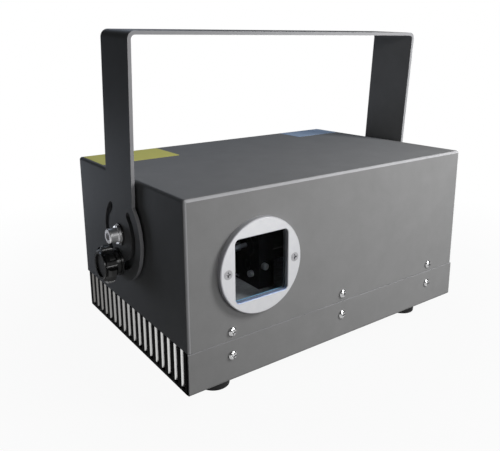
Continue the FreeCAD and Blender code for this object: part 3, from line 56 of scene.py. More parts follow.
# %% [markdown]
# ## Helpers for materials
# Colours are easiest to judge as the hex values of a paint chart or a colour picker, which are
# sRGB. Blender's shaders count light, so they want linear values, and one function does that sum.
# A material is a small graph of nodes. A node is always added in the same way: choose its kind,
# set its properties and sockets, and link what feeds it. One function does this for every kind.
# A third function turns the width of a mark in millimetres into a texture scale.

# %% Colour, node and scale helpers
def linear(hex_colour):
    """An sRGB hex colour as linear red, green and blue, with alpha 1."""
    parts = [int(hex_colour[place:place + 2], 16) / 255 for place in (0, 2, 4)]
    light = [part / 12.92 if part <= 0.04045 else ((part + 0.055) / 1.055) ** 2.4 for part in parts]
    return (*light, 1.0)


def add_node(tree, kind, settings=None, links=None):
    """Adds a node. Settings are properties, or sockets by name or number; links feed sockets."""
    node = tree.nodes.new(kind)
    for key, value in (settings or {}).items():
        if isinstance(key, str) and hasattr(node, key):
            setattr(node, key, value)
        else:
            node.inputs[key].default_value = value
    for key, source in (links or {}).items():
        tree.links.new(source, node.inputs[key])
    return node


def per_metre(size_mm):
    """The texture scale that draws marks about size_mm wide, as the frame is in metres."""
    return 1.0 / (size_mm * MM)


print("mid grey 808080 is", round(linear("808080")[0], 3), "in linear light")

# %% [markdown]
# ## One recipe for opaque finishes
# Most finishes here share a build-up: a base colour that drifts a little in soft patches, a gloss
# that drifts with it, and a fine grain that raises the surface. Paint, plastic, rubber and metal
# differ in the sizes of these, so one recipe takes them as values. Pictures of real surfaces could
# do the same, but noise needs no files and shows no seams. The pattern sits in object coordinates,
# which are metres on the object, so it keeps its true size and moves with the piece. Real grain is
# often finer than a pixel of this picture, so it is drawn half a millimetre wide or more, which is
# just coarse enough to show.

# %% The recipe
PATCH_OCTAVES, PATCH_ROUGHNESS, GRAIN_OCTAVES = 9.0, 0.62, 2.0
# A colour mix node has its two colours in sockets 6 and 7, and its result is output 2.
MIX_FIRST, MIX_SECOND, MIX_RESULT = 6, 7, 2
finishes = {}


def make_finish(slot, name, light, dark, roughness, grain_mm, depth_mm, patch_mm, metallic=0.0,
                specular=0.5, gloss_drift=0.06, stretch=(1.0, 1.0, 1.0)):
    """Makes an opaque finish for one material slot and returns its node tree and shader."""
    material = bpy.data.materials.new(name)
    material.use_nodes = True
    tree = material.node_tree
    shader = tree.nodes["Principled BSDF"]
    shader.inputs["Metallic"].default_value = metallic
    shader.inputs["Specular IOR Level"].default_value = specular
    place = add_node(tree, "ShaderNodeTexCoord")
    along = add_node(tree, "ShaderNodeMapping", {"Scale": stretch}, {"Vector": place.outputs["Object"]})
    patches = add_node(tree, "ShaderNodeTexNoise",
                       {"Scale": per_metre(patch_mm), "Detail": PATCH_OCTAVES,
                        "Roughness": PATCH_ROUGHNESS},
                       {"Vector": along.outputs["Vector"]})
    tone = add_node(tree, "ShaderNodeMix",
                    {"data_type": "RGBA", MIX_FIRST: linear(dark), MIX_SECOND: linear(light)},
                    {0: patches.outputs["Fac"]})
    gloss = add_node(tree, "ShaderNodeMapRange",
                     {"To Min": roughness - gloss_drift, "To Max": roughness + gloss_drift},
                     {"Value": patches.outputs["Fac"]})
    grain = add_node(tree, "ShaderNodeTexNoise", {"Scale": per_metre(grain_mm), "Detail": GRAIN_OCTAVES},
                     {"Vector": along.outputs["Vector"]})
    relief = add_node(tree, "ShaderNodeBump", {"Strength": 1.0, "Distance": depth_mm * MM},
                      {"Height": grain.outputs["Fac"]})
    tree.links.new(tone.outputs[MIX_RESULT], shader.inputs["Base Color"])
    tree.links.new(gloss.outputs["Result"], shader.inputs["Roughness"])
    tree.links.new(relief.outputs["Normal"], shader.inputs["Normal"])
    finishes[slot] = material
    return tree, shader


def feeding(shader, socket):
    """The output that feeds a shader's socket now, so that a later node can build on it."""
    return shader.inputs[socket].links[0].from_socket


print("recipe ready: a mark 1 mm wide has the texture scale", per_metre(1.0))

# %% [markdown]
# ## Powder coat on folded steel
# The cover, the pan and the yoke are steel sheet with a baked powder coat: a dry plastic dust that
# melts into a thick, matt skin with a faint orange-peel grain. That skin scatters light widely, so
# it has no sharp reflections and hardly any gloss. The real grain is about 0.3 mm, too fine for
# this picture, so it is drawn about 0.9 mm wide. It could be modelled, but a bump costs nothing and
# leaves the CAD surface as it is. The vent plates carry the same coat in black, and the rear panel a
# satin black that catches a little more light.

# %% Grey and black powder coat
POWDER_SKIN = {"grain_mm": 0.9, "patch_mm": 14.0}
# Grey coat: one even, matt tone, with no picture of the room in it.
make_finish("grey_paint", "steel_grey_powder_coat", "8b8b8b", "7f7f7f", roughness=0.5,
            depth_mm=0.03, specular=0.01, **POWDER_SKIN)
# Black coat: so matt that a plate reads as a single dark shape.
make_finish("black_paint", "steel_black_powder_coat", "0d0d0e", "080809", roughness=0.55,
            depth_mm=0.03, specular=0.01, **POWDER_SKIN)
# Satin black: a soft grey sheen where light grazes it.
make_finish("black_satin", "steel_black_powder_coat_satin", "29292b", "202022", roughness=0.46,
            depth_mm=0.03, specular=0.3, **POWDER_SKIN)
print("powder coats:", [finish.name for finish in finishes.values()])

# %% [markdown]
# ## Aluminium pieces
# The aperture ring is turned, bead-blasted and clear anodised. The optical plate and the join bars
# are milled, and the cutter leaves short marks, light and dark. The scanner block, its motors and
# the laser modules are anodised black against stray light, the holders of the dichroic plates are
# clear, and the power supply is a case of folded sheet. Each mark could be drawn by hand, but the
# recipe's noise, stretched along the cut, looks the same from here. Bright metals keep the default
# IOR: their colour and roughness do the work.

# %% Anodised and milled aluminium
# Blasted ring: a pale, even sparkle without a mirror image.
make_finish("ring_aluminium", "aluminium_bead_blasted_anodised", "d9d9da", "c8c9cd", roughness=0.46,
            grain_mm=0.7, depth_mm=0.03, patch_mm=4.0, metallic=1.0)
# Milled plate: a mottle of bright and dull cutter marks.
make_finish("plate_aluminium", "aluminium_milled", "f6f6f8", "86868a", roughness=0.45,
            grain_mm=0.8, depth_mm=0.04, patch_mm=1.8, metallic=0.15, stretch=(0.5, 1.0, 1.0))
# Black anodising: a deep black that gives back almost nothing.
make_finish("black_aluminium", "aluminium_black_anodised", "0a0a0b", "060607", roughness=0.42,
            grain_mm=0.5, depth_mm=0.008, patch_mm=8.0, specular=0.06)
# Clear anodising: a cool grey metal with a silky sheen.
make_finish("module_aluminium", "aluminium_clear_anodised", "b4b5b9", "9c9da2", roughness=0.36,
            grain_mm=0.5, depth_mm=0.008, patch_mm=10.0, metallic=1.0)
# Rolled sheet: long faint streaks along the roll.
make_finish("supply_case", "aluminium_folded_sheet", "c4c5c8", "a9aaae", roughness=0.4,
            grain_mm=0.6, depth_mm=0.008, patch_mm=16.0, metallic=1.0, stretch=(1.0, 0.08, 1.0))
print("aluminium finishes:", sum("aluminium" in finish.name for finish in finishes.values()))

# %% [markdown]
# ## Steel hardware, brass and mirrors
# Screws, key, lock and fan guard are nickel plated. The screws of the ring and of the scanner block
# are tumbled stainless steel, the pivot bolts a brighter stainless steel, and the scanner shafts
# ground tool steel. Hidden hardware and the shell of the show-control socket are zinc plated.
# Contacts are brass. The scanner mirrors carry a bare silver layer. One metal with one colour could
# stand for all of them, but side by side they differ in tone and sheen, so each has its own values.

# %% Hardware finishes
# Nickel plate: bright and smooth, with a clear gleam.
make_finish("nickel_steel", "steel_nickel_plated", "d0d0d0", "bbbbbc", roughness=0.22,
            grain_mm=0.8, depth_mm=0.004, patch_mm=3.0, metallic=1.0)
# Tumbled stainless: greyer and matt.
make_finish("tumbled_steel", "steel_stainless_tumbled", "b8b8ba", "a2a2a5", roughness=0.4,
            grain_mm=0.6, depth_mm=0.01, patch_mm=2.0, metallic=1.0)
# Bright stainless: pale, with a soft and wide sheen.
make_finish("bolt_steel", "steel_stainless_bright", "ececec", "dcdcde", roughness=0.44,
            grain_mm=0.6, depth_mm=0.01, patch_mm=2.0, metallic=1.0)
# Ground tool steel, given a darker grey than bare steel: painted shade for the shafts inside the
# housing.
make_finish("shaft_steel", "steel_ground_painted_shade", "7c7d82", "6c6d72", roughness=0.36,
            grain_mm=0.6, depth_mm=0.004, patch_mm=2.0, metallic=1.0)
# Zinc plate: a bluish grey with a faint bloom.
make_finish("zinc_steel", "steel_zinc_plated", "b9bcc0", "9da1a6", roughness=0.36,
            grain_mm=0.8, depth_mm=0.006, patch_mm=2.5, metallic=1.0)
# Drawn brass: a warm yellow glint.
make_finish("contact_brass", "brass_drawn", "d9bd72", "c3a55c", roughness=0.24,
            grain_mm=0.6, depth_mm=0.004, patch_mm=3.0, metallic=1.0)
# Silver layer: a clean mirror.
make_finish("scan_mirror", "silver_mirror_coating", "eef0f2", "e6e9ec", roughness=0.03,
            grain_mm=4.0, depth_mm=0.0005, patch_mm=6.0, metallic=1.0, gloss_drift=0.01)
print("hardware done, finishes so far:", len(finishes))

# %% [markdown]
# ## Rubber and plastics
# The feet are carbon-black rubber. Connector bodies and fan, and the grey buttons, are moulded in a
# spark-eroded tool, which leaves a fine even tooth. The display sits behind a smoke-tinted acrylic
# window. A plain dark colour would look like paint, so each has the gloss and grain of its mould.

# %% Rubber and moulded plastics
# Rubber: dull, with a dusty bloom.
make_finish("foot_rubber", "rubber_moulded_black", "262627", "191919", roughness=0.72,
            grain_mm=0.8, depth_mm=0.02, patch_mm=7.0, specular=0.3)
# Black plastic: a soft sheen that the mould's tooth breaks up.
make_finish("black_plastic", "abs_moulded_black", "1b1b1c", "131314", roughness=0.46,
            grain_mm=0.5, depth_mm=0.01, patch_mm=10.0, specular=0.4)
# Grey plastic: the same tooth, light enough to stand out on the panel.
make_finish("button_plastic", "abs_moulded_grey", "5a5b5f", "4e4f53", roughness=0.44,
            grain_mm=0.5, depth_mm=0.01, patch_mm=6.0, specular=0.4)
# Smoke acrylic: a dark, glossy window with a blue cast.
make_finish("display_plastic", "acrylic_smoke_tinted", "0c1016", "07090d", roughness=0.1,
            grain_mm=6.0, depth_mm=0.004, patch_mm=12.0, gloss_drift=0.03)
print("plastics done, finishes so far:", len(finishes))

# %% [markdown]
# ## Clamp knobs
# The clamp knobs are a hard black thermoset that leaves a polished mould with a wet gloss, so they
# show small sharp highlights. A mould has draft, so the lobes lean a little to the outer end. The
# frame's shape stays as it is, so the lean is shaded: a bump whose height falls off outwards, away
# from the middle of the object, tilts the shading in the same way.

# %% Polished thermoset
DRAFT_SLOPE = 0.15
# Polished thermoset: deep black, with small sharp highlights.
tree, shader = make_finish("knob_plastic", "phenolic_polished_black", "0e0e0f", "080808",
                           roughness=0.3, grain_mm=5.0, depth_mm=0.02, patch_mm=8.0, specular=0.45,
                           gloss_drift=0.05)
place = add_node(tree, "ShaderNodeTexCoord")
along = add_node(tree, "ShaderNodeSeparateXYZ", None, {0: place.outputs["Object"]})
outward = add_node(tree, "ShaderNodeMath", {"operation": "ABSOLUTE"}, {0: along.outputs["X"]})
draft = add_node(tree, "ShaderNodeBump", {"Strength": 1.0, "Distance": DRAFT_SLOPE, "invert": True},
                 {"Height": outward.outputs[0], "Normal": feeding(shader, "Normal")})
tree.links.new(draft.outputs["Normal"], shader.inputs["Normal"])
print("knob finish:", finishes["knob_plastic"].name)

# %% [markdown]
# ## Circuit boards
# A driver board is glass-fibre laminate under a green solder mask. Copper tracks under the mask
# show as paler bands a millimetre or two wide. They could be drawn one by one, but a Voronoi pattern
# measured in straight steps gives blocks with square corners, close to the look of tracks and copper
# fill. It takes the place of the soft patches between the two greens of the recipe.

# %% Solder mask
TRACK_MM = 4.0
MASK_ENDS, COPPER_STARTS = 0.3, 0.34
# Solder mask: glossy green, paler over the copper.
tree, shader = make_finish("circuit_board", "laminate_green_solder_mask", "22703f", "0d4423",
                           roughness=0.3, grain_mm=1.0, depth_mm=0.01, patch_mm=12.0)
place = add_node(tree, "ShaderNodeTexCoord")
tracks = add_node(tree, "ShaderNodeTexVoronoi", {"distance": "CHEBYCHEV", "Scale": per_metre(TRACK_MM)},
                  {"Vector": place.outputs["Object"]})
copper = add_node(tree, "ShaderNodeMapRange", {"From Min": MASK_ENDS, "From Max": COPPER_STARTS},
                  {"Value": tracks.outputs["Distance"]})
tree.links.new(copper.outputs["Result"], feeding(shader, "Base Color").node.inputs[0])
print("board finish:", finishes["circuit_board"].name)

# %% [markdown]
# ## Glass
# The window is thin float glass with an anti-reflection coat. Plain glass has an IOR of 1.52 and
# mirrors about 4% of the light. The coat takes that under 1%. It could be layered as a thin film,
# but a lower IOR gives the same dark, clear pane with one value. The dichroic plates in front of the
# lasers pass one colour and mirror another, so they are thin tinted glass with a stronger reflection.

# %% Window and dichroic glass
STREAK_MM, STREAK_OCTAVES = 12.0, 4.0


def make_glass(slot, name, tint, ior, roughness):
    """Clear glass with faint streaks in its polish."""
    material = bpy.data.materials.new(name)
    material.use_nodes = True
    tree = material.node_tree
    shader = tree.nodes["Principled BSDF"]
    shader.inputs["Base Color"].default_value = linear(tint)
    shader.inputs["Transmission Weight"].default_value = 1.0
    shader.inputs["IOR"].default_value = ior
    place = add_node(tree, "ShaderNodeTexCoord")
    streaks = add_node(tree, "ShaderNodeTexNoise",
                       {"Scale": per_metre(STREAK_MM), "Detail": STREAK_OCTAVES},
                       {"Vector": place.outputs["Object"]})
    polish = add_node(tree, "ShaderNodeMapRange", {"To Min": 0.0, "To Max": roughness},
                      {"Value": streaks.outputs["Fac"]})
    tree.links.new(polish.outputs["Result"], shader.inputs["Roughness"])
    finishes[slot] = material


# Coated window: nearly unseen, apart from a cool tint.
make_glass("window_glass", "float_glass_coated", "eef6fa", ior=1.06, roughness=0.02)
# Dichroic plate: a rosy pane with a clear reflection.
make_glass("dichroic_glass", "dichroic_coated_glass", "e7b4c9", ior=1.7, roughness=0.02)
print("glass finishes:", finishes["window_glass"].name, finishes["dichroic_glass"].name)

# %% [markdown]
# ## Give each node its finish
# The record names a material slot for every CAD node, so one loop dresses them all, where a line for
# each would be long and easy to get wrong. The moving parts are dressed too. A few nodes share a
# slot but have another finish on the real thing, and a second loop changes those. The panes cast no
# shadow and let scattered light through: real coated glass passes nearly all the light, so the
# inside must be lit through it.

# %% Dress the nodes
for part in frame["record"]["subparts"]:
    dressed = nodes[part["node"]]
    dressed.data.materials.clear()
    dressed.data.materials.append(finishes[part["material_slot"]])
OTHER_FINISHES = {
    "black_satin": ("rear_panel",),
    "tumbled_steel": ("aperture_screws", "scanner_screws"),
    # The scanner shafts take the darker steel, painted shade for the inside of the housing.
    "shaft_steel": ("galvo_x_shaft", "galvo_y_shaft"),
    "bolt_steel": ("pivot_bolts", "pivot_spring_washers"),
    "black_aluminium": ("galvo_x_motor", "galvo_y_motor"),
    "button_plastic": ("menu_button_1", "menu_button_2", "menu_button_3", "menu_button_4"),
}
for finish, wearers in OTHER_FINISHES.items():
    for node in wearers:
        nodes[node].data.materials[0] = finishes[finish]
for clear in ("window_glass", "dichroic_plates"):
    nodes[clear].visible_shadow = False
    nodes[clear].visible_diffuse = False

# %% [markdown]
# ## Painted highlights on edges and bends
# The sheared front edges of the strap, and the bends and the seam at the front of the box, catch the
# light in thin bright lines. These highlights are painted: those faces wear a paler grey coat. The
# light on them could be worked out from the curve of the surface, but here it follows the folds, so
# whole faces carry it. A second material goes on the same mesh, and a small test picks the faces by
# where they lie and look. The parts of a face's normal, which is one long, say how far it looks
# along each axis.

# %% Edges, bends and seam
# The arc slots lie between these distances from the pivot.
SLOT_NEAR, SLOT_FAR = 17 * MM, 25 * MM
# How far a face looks ahead, aside, down or up, as parts of its normal.
EDGE_AHEAD, EDGE_ASIDE = 0.3, 0.5
BEND_AHEAD, FLAT_AHEAD, BEND_DOWN, SEAM_UP = 0.4, 0.99, 0.2, 0.1
bolts_low, bolts_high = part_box("pivot_bolts")
pivot = (bolts_low + bolts_high) / 2


def refinish(node, finish, chosen):
    """Gives the faces of a node that pass a test a second finish."""
    mesh = nodes[node].data
    mesh.materials.append(finishes[finish])
    faces = [face for face in mesh.polygons if chosen(face)]
    for face in faces:
        face.material_index = len(mesh.materials) - 1
    print(node, "faces in", finishes[finish].name, len(faces))


def sheared_edge(face):
    """Whether a face of the strap is one of its front edges, and not a wall of its arc slots."""
    in_slot = SLOT_NEAR < (face.center - pivot).yz.length < SLOT_FAR
    return face.normal.y < -EDGE_AHEAD and abs(face.normal.x) < EDGE_ASIDE and not in_slot


def front_bend(face):
    """Whether a face lies in a bend or seam at the front of the sheet, and not under the box."""
    return -FLAT_AHEAD < face.normal.y < -BEND_AHEAD and face.normal.z > -BEND_DOWN


# Painted highlights: the same matt grey in three paler tones, for the strap's edges, the bends and the
# seam.
for slot, name, light, dark in (
        ("painted_highlight_edge", "steel_grey_powder_coat_painted_highlight_edge", "a0a0a2", "949496"),
        ("painted_highlight_bend", "steel_grey_powder_coat_painted_highlight_bend", "b6b6b8", "a8a8aa"),
        ("painted_highlight_seam", "steel_grey_powder_coat_painted_highlight_seam", "929294", "868688")):
    make_finish(slot, name, light, dark, roughness=0.5, depth_mm=0.02, specular=0.01, **POWDER_SKIN)
# The strap's front edges, the cover's front bends, and the pan's bend and seam get painted highlights.
refinish("yoke", "painted_highlight_edge", sheared_edge)
refinish("top_cover", "painted_highlight_bend", front_bend)
refinish("base_pan", "painted_highlight_bend", lambda face: front_bend(face) and face.normal.z < SEAM_UP)
refinish("base_pan", "painted_highlight_seam", lambda face: front_bend(face) and face.normal.z > SEAM_UP)

# %% [markdown]
# ## Rim and window of the ring
# The ring's rim and window are cut after blasting, so they are smoother than its face. The window's
# sill and the cut edge of the cover behind the pane show a blue glint of the coated glass. That glint
# is painted: a painted blue reflection on the sill, and a brighter painted blue highlight on the
# cover's edge. A coat that mirrors by colour could be traced, but that is slow and noisy. The faces
# are found from the pane, which covers the window.

# %% Cut faces of the ring and the cover
SQUARE_ON, SILL_UP = 0.9, 0.5
pane_low, pane_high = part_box("window_glass")
pane = (pane_low + pane_high) / 2
window_half = (pane_high.x - pane_low.x) / 2


def in_window(face):
    """Whether a face lies in the square tunnel of the window."""
    return max(abs(face.center.x - pane.x), abs(face.center.z - pane.z)) < window_half


# Turned rim: a smooth pale band around the blasted face.
make_finish("ring_rim", "aluminium_turned_anodised", "d0d0d4", "c2c2c8", roughness=0.4,
            grain_mm=0.5, depth_mm=0.008, patch_mm=4.0, metallic=0.4)
# Window sill: a blue-grey strip under the pane, a painted blue reflection of the coated glass.
make_finish("ring_sill_painted_reflection", "aluminium_milled_painted_blue_reflection", "a2b4d6", "94a6ca", roughness=0.5,
            grain_mm=0.5, depth_mm=0.008, patch_mm=4.0, metallic=0.25)
# Cut edge of the cover: a brighter blue line, a painted blue highlight from the coated glass.
make_finish("cover_edge_painted_highlight", "steel_cut_edge_painted_blue_highlight", "a8dcff", "94d0f8", roughness=0.4,
            grain_mm=0.5, depth_mm=0.008, patch_mm=4.0, metallic=0.2)
refinish("aperture_ring", "ring_rim", lambda face: abs(face.normal.y) < SQUARE_ON)
# The window's sill and the cover's cut edge get the painted blue reflection and highlight.
refinish("aperture_ring", "ring_sill_painted_reflection", lambda face: in_window(face) and face.normal.z > SILL_UP)
refinish("top_cover", "cover_edge_painted_highlight", lambda face: in_window(face) and face.normal.z > SQUARE_ON)

# %% [markdown]
# ## Vent slots cut after painting
# The vent slots are cut after painting, so their walls are bare bright steel and flash against the
# black plate. Towards the back of the row the walls fall into shade, and that shade is painted: one
# finish whose colour darkens along the row, where each wall could have had a material of its own.
# Only the walls that look to the front and outwards are bright, and the plate's own front edge stays
# painted.

# %% Bright walls of the vents
PAINTED_SHADE_STARTS, PAINTED_SHADE_ENDS, PAINTED_SHADE_SHARE = -80 * MM, 70 * MM, 0.9
WALL_AHEAD, WALL_OUT, PLATE_RIM = 0.5, 0.2, 3 * MM
# Bare cut steel: near white at the front of the row, and a painted shade darkens it to grey at its back.
tree, shader = make_finish("bare_cut_steel", "steel_cut_edge_bare", "ffffff", "f4f4f2",
                           roughness=0.3, grain_mm=0.6, depth_mm=0.006, patch_mm=3.0, metallic=1.0)
place = add_node(tree, "ShaderNodeTexCoord")
along = add_node(tree, "ShaderNodeSeparateXYZ", None, {0: place.outputs["Object"]})
# Painted shade: towards the back of the row the walls' colour is mixed towards a dark grey.
painted_shade_ramp = add_node(tree, "ShaderNodeMapRange",
                {"From Min": PAINTED_SHADE_STARTS, "From Max": PAINTED_SHADE_ENDS, "To Min": 0.0, "To Max": PAINTED_SHADE_SHARE},
                {"Value": along.outputs["Y"]})
shaded_wall_colour = add_node(tree, "ShaderNodeMix", {"data_type": "RGBA", MIX_SECOND: linear("56524e")},
                  {0: painted_shade_ramp.outputs["Result"], MIX_FIRST: feeding(shader, "Base Color")})
tree.links.new(shaded_wall_colour.outputs[MIX_RESULT], shader.inputs["Base Color"])
for side, outward in (("left", -1), ("right", 1)):
    plate_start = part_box(f"vent_plate_{side}")[0].y
    refinish(f"vent_plate_{side}", "bare_cut_steel",
             lambda face: face.normal.y < -WALL_AHEAD and face.normal.x * outward > WALL_OUT
             and face.center.y > plate_start + PLATE_RIM)

# %% [markdown]
# ## Flat ends and the core of a socket
# The knob's lobes are polished, but its flat end keeps the matt tooth of the mould. The end of a
# pivot bolt is turned, and it gets a darker grey than its side as painted shade for the dim
# reflection on that end. The core of the show-control socket is black plastic inside a plated shell.
# CAD could split each into two pieces, but a knob, a bolt and a socket each come as one, so a second
# finish on the right faces is truer.

# %% Ends of knobs and bolts, core of the socket
CORE_NEAR, CORE_FAR = 0.2 * MM, 0.7 * MM
# Turned end: a darker grey disc, painted shade on the bolt's end.
make_finish("bolt_end_painted_shade", "steel_stainless_turned_painted_shade", "8c8a8c", "7c7a7c", roughness=0.4,
            grain_mm=0.5, depth_mm=0.008, patch_mm=2.0, metallic=1.0)
# Mould texture: a flat black without highlights.
make_finish("knob_end", "phenolic_mould_textured", "141415", "0d0d0e", roughness=0.55,
            grain_mm=0.5, depth_mm=0.01, patch_mm=6.0, specular=0.06)
# The bolts' flat ends take the painted shade.
refinish("pivot_bolts", "bolt_end_painted_shade", lambda face: abs(face.normal.x) > SQUARE_ON)
refinish("knob_left", "knob_end", lambda face: face.normal.x < -SQUARE_ON)
refinish("knob_right", "knob_end", lambda face: face.normal.x > SQUARE_ON)
socket_low, socket_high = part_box("ilda_socket")
socket = (socket_low + socket_high) / 2
refinish("ilda_socket", "black_plastic",
         lambda face: face.normal.y > SQUARE_ON and CORE_NEAR < socket_high.y - face.center.y < CORE_FAR)

# %% [markdown]
# ## Outlines and new pieces
# The labels and the display's bezel, which come next, start from the same outline: a rectangle with
# round corners. It could be a plain box with a bevel, but points keep the exact sizes and need no
# modifier. Every finished mesh then becomes an object, takes its finish and is tied to the body that
# it moves with.

# %% Outline and piece helpers
CORNER_STEPS = 6


def rounded_outline(low_x, high_x, low_y, high_y, radius):
    """The points of a rectangle with round corners, anticlockwise."""
    corners = ((high_x, high_y, 0), (low_x, high_y, 90), (low_x, low_y, 180), (high_x, low_y, 270))
    points = []
    for x, y, start in corners:
        middle_x = x - radius if x == high_x else x + radius
        middle_y = y - radius if y == high_y else y + radius
        for step in range(CORNER_STEPS + 1):
            angle = math.radians(start + 90 * step / CORNER_STEPS)
            points.append((middle_x + radius * math.cos(angle), middle_y + radius * math.sin(angle)))
    return points


def new_piece(name, shape, finish, body="chassis"):
    """Turns a finished bmesh into a named piece that wears a finish and rides on a body."""
    mesh = bpy.data.meshes.new(name)
    bmesh.ops.recalc_face_normals(shape, faces=shape.faces)
    shape.to_mesh(mesh)
    shape.free()
    piece = bpy.data.objects.new(name, mesh)
    bpy.context.scene.collection.objects.link(piece)
    mesh.materials.append(finishes[finish])
    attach(piece, body)
    print("made", name, "with", len(mesh.polygons), "faces")


print("points in a rounded outline:", len(rounded_outline(-1.0, 1.0, -1.0, 1.0, 0.5)))

# %% [markdown]
# ## Two blank labels on the lid
# Two blank labels lie on the lid near its back edge, one yellow and one blue-grey: thin vinyl sheets
# with rounded corners. They could be painted onto the lid's material, but a sheet has a crisp edge
# and a true thickness. A flat outline is made as one face and extruded. The vinyl has a matt film on
# top, with a slight waviness where it was rubbed down.

# %% Labels
LABEL_CORNER, LABEL_THICKNESS = 1.2 * MM, 0.12 * MM
VINYL_FILM = {"roughness": 0.62, "grain_mm": 4.0, "depth_mm": 0.03, "specular": 0.1, "patch_mm": 9.0}
# Vinyl: flat, clean colour with no shine.
make_finish("yellow_vinyl", "vinyl_label_yellow", "efe97a", "e2da69", **VINYL_FILM)
make_finish("blue_vinyl", "vinyl_label_blue_grey", "a8bbd2", "9aaec8", **VINYL_FILM)


def lid_label(name, finish, left, right, far, near):
    """A thin label on the lid, its sides in millimetres from the lid's left and back edges."""
    low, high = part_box("top_cover")
    outline = rounded_outline(low.x + left * MM, low.x + right * MM, high.y - near * MM,
                              high.y - far * MM, LABEL_CORNER)
    shape = bmesh.new()
    rim = [shape.verts.new((x, y, high.z)) for x, y in outline]
    sheet = shape.faces.new(rim)
    lifted = bmesh.ops.extrude_face_region(shape, geom=[sheet])
    top = [item for item in lifted["geom"] if isinstance(item, bmesh.types.BMVert)]
    bmesh.ops.translate(shape, verts=top, vec=(0, 0, LABEL_THICKNESS))
    new_piece(name, shape, finish)


lid_label("lid_label_yellow", "yellow_vinyl", left=2.5, right=64.5, far=2.5, near=42.0)
lid_label("lid_label_blue", "blue_vinyl", left=194.5, right=242.1, far=3.0, near=30.5)

# %% [markdown]
# ## Loops of points
# Screws, contacts and bezel are all made in one way: closed loops of points in planes that face the
# back, with a band of faces between each loop and the next. A lathe-like modifier could turn the
# round ones, but loops also serve a cross or a rectangle, and nothing has to be applied later.

# %% Loop helpers
def circle_points(x, z, radius, sides):
    """The points of a circle, anticlockwise."""
    turns = [2 * math.pi * step / sides for step in range(sides)]
    return [(x + radius * math.cos(turn), z + radius * math.sin(turn)) for turn in turns]


def cross_points(reach, half):
    """The twelve corners of a plain cross, anticlockwise."""
    return [(reach, -half), (reach, half), (half, half), (half, reach), (-half, reach), (-half, half),
            (-reach, half), (-reach, -half), (-half, -half), (-half, -reach), (half, -reach),
            (half, -half)]


def ring_of(shape, points, y):
    """Adds a closed loop of points in a plane that faces the back, and returns its verts."""
    return [shape.verts.new((x, y, z)) for x, z in points]


def join_rings(shape, one, other):
    """Adds a band of faces between two loops with the same number of points."""
    for step in range(len(one)):
        after = (step + 1) % len(one)
        shape.faces.new((one[step], one[after], other[after], other[step]))


print("corners of a cross:", len(cross_points(1.0, 0.3)))

# %% [markdown]
# ## Screws on the connector flanges
# The mains inlet and the two control connectors are held by small domed cross-head screws. The cross
# could be a dark mark on the dome, but a real recess catches light on its walls. The dome is a stack
# of circles, each with its width and its rise in shares of the head's radius, and the top is filled
# between the last circle and the rim of the cross.

# %% Flange screws
SCREW_SIDES = 24
DOME_SHARES = ((1.0, 0.0), (1.0, 0.3), (0.9, 0.52), (0.72, 0.66))
CROSS_REACH_SHARE, CROSS_HALF_SHARE, CROSS_FLOOR_SHARE = 0.52, 0.14, 0.2


def add_screw(shape, x, y, z, radius):
    """A domed cross-head screw that looks towards the back, with its head on the plane y."""
    rings = [ring_of(shape, circle_points(x, z, radius * share, SCREW_SIDES), y + radius * rise)
             for share, rise in DOME_SHARES]
    for one, other in zip(rings, rings[1:]):
        join_rings(shape, one, other)
    cross = cross_points(radius * CROSS_REACH_SHARE, radius * CROSS_HALF_SHARE)
    corners = [(x + across, z + up) for across, up in cross]
    rim = ring_of(shape, corners, rings[-1][0].co.y)
    floor = ring_of(shape, corners, y + radius * CROSS_FLOOR_SHARE)
    join_rings(shape, rim, floor)
    shape.faces.new(floor)
    shape.faces.new(rings[0])
    edges = []
    for loop in (rings[-1], rim):
        edges += [shape.edges.get((loop[step], loop[step - 1])) for step in range(len(loop))]
    bmesh.ops.triangle_fill(shape, edges=edges, use_beauty=True)


def flange_screws(name, node, offsets, radius):
    """Screws on a connector's outer face, at offsets in millimetres from its middle."""
    low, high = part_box(node)
    middle = (low + high) / 2
    shape = bmesh.new()
    for across, up in offsets:
        add_screw(shape, middle.x + across * MM, high.y, middle.z + up * MM, radius * MM)
    new_piece(name, shape, "nickel_steel")


flange_screws("inlet_screws", "power_inlet", offsets=((-20.0, 0.0), (20.0, 0.0)), radius=2.6)
for node in ("dmx_in", "dmx_out"):
    flange_screws(f"{node}_screws", node, offsets=((-9.6, 12.0), (9.6, -12.0)), radius=2.3)

# %% [markdown]
# ## Contacts of the show-control socket
# The socket has twenty-five contact holes in two rows, each with a thin brass lip. A picture of dots
# would look flat from the side, so each lip is a small ring made of four loops, and the code repeats
# it along two rows at the usual spacing of such sockets.

# %% Contact rings
CONTACT_PITCH, ROW_PITCH = 2.76 * MM, 2.84 * MM
CONTACT_ROWS = ((13, ROW_PITCH / 2), (12, -ROW_PITCH / 2))
CONTACT_SIDES = 12
LIP_OUTER, LIP_INNER, LIP_RISE, LIP_GAP = 0.85 * MM, 0.5 * MM, 0.12 * MM, 0.01 * MM
LIP_LOOPS = ((LIP_OUTER, LIP_GAP), (LIP_OUTER, LIP_RISE), (LIP_INNER, LIP_RISE), (LIP_INNER, LIP_GAP))
core = max(face.center.y for face in nodes["ilda_socket"].data.polygons if face.material_index == 1)
shape = bmesh.new()
for count, up in CONTACT_ROWS:
    for number in range(count):
        x = socket.x + (number - (count - 1) / 2) * CONTACT_PITCH
        loops = [ring_of(shape, circle_points(x, socket.z + up, radius, CONTACT_SIDES), core + rise)
                 for radius, rise in LIP_LOOPS]
        for one, other in zip(loops, loops[1:] + loops[:1]):
            join_rings(shape, one, other)
new_piece("socket_contacts", shape, "contact_brass")
print("contacts:", sum(count for count, up in CONTACT_ROWS), "on the core at", round(core / MM, 2), "mm")

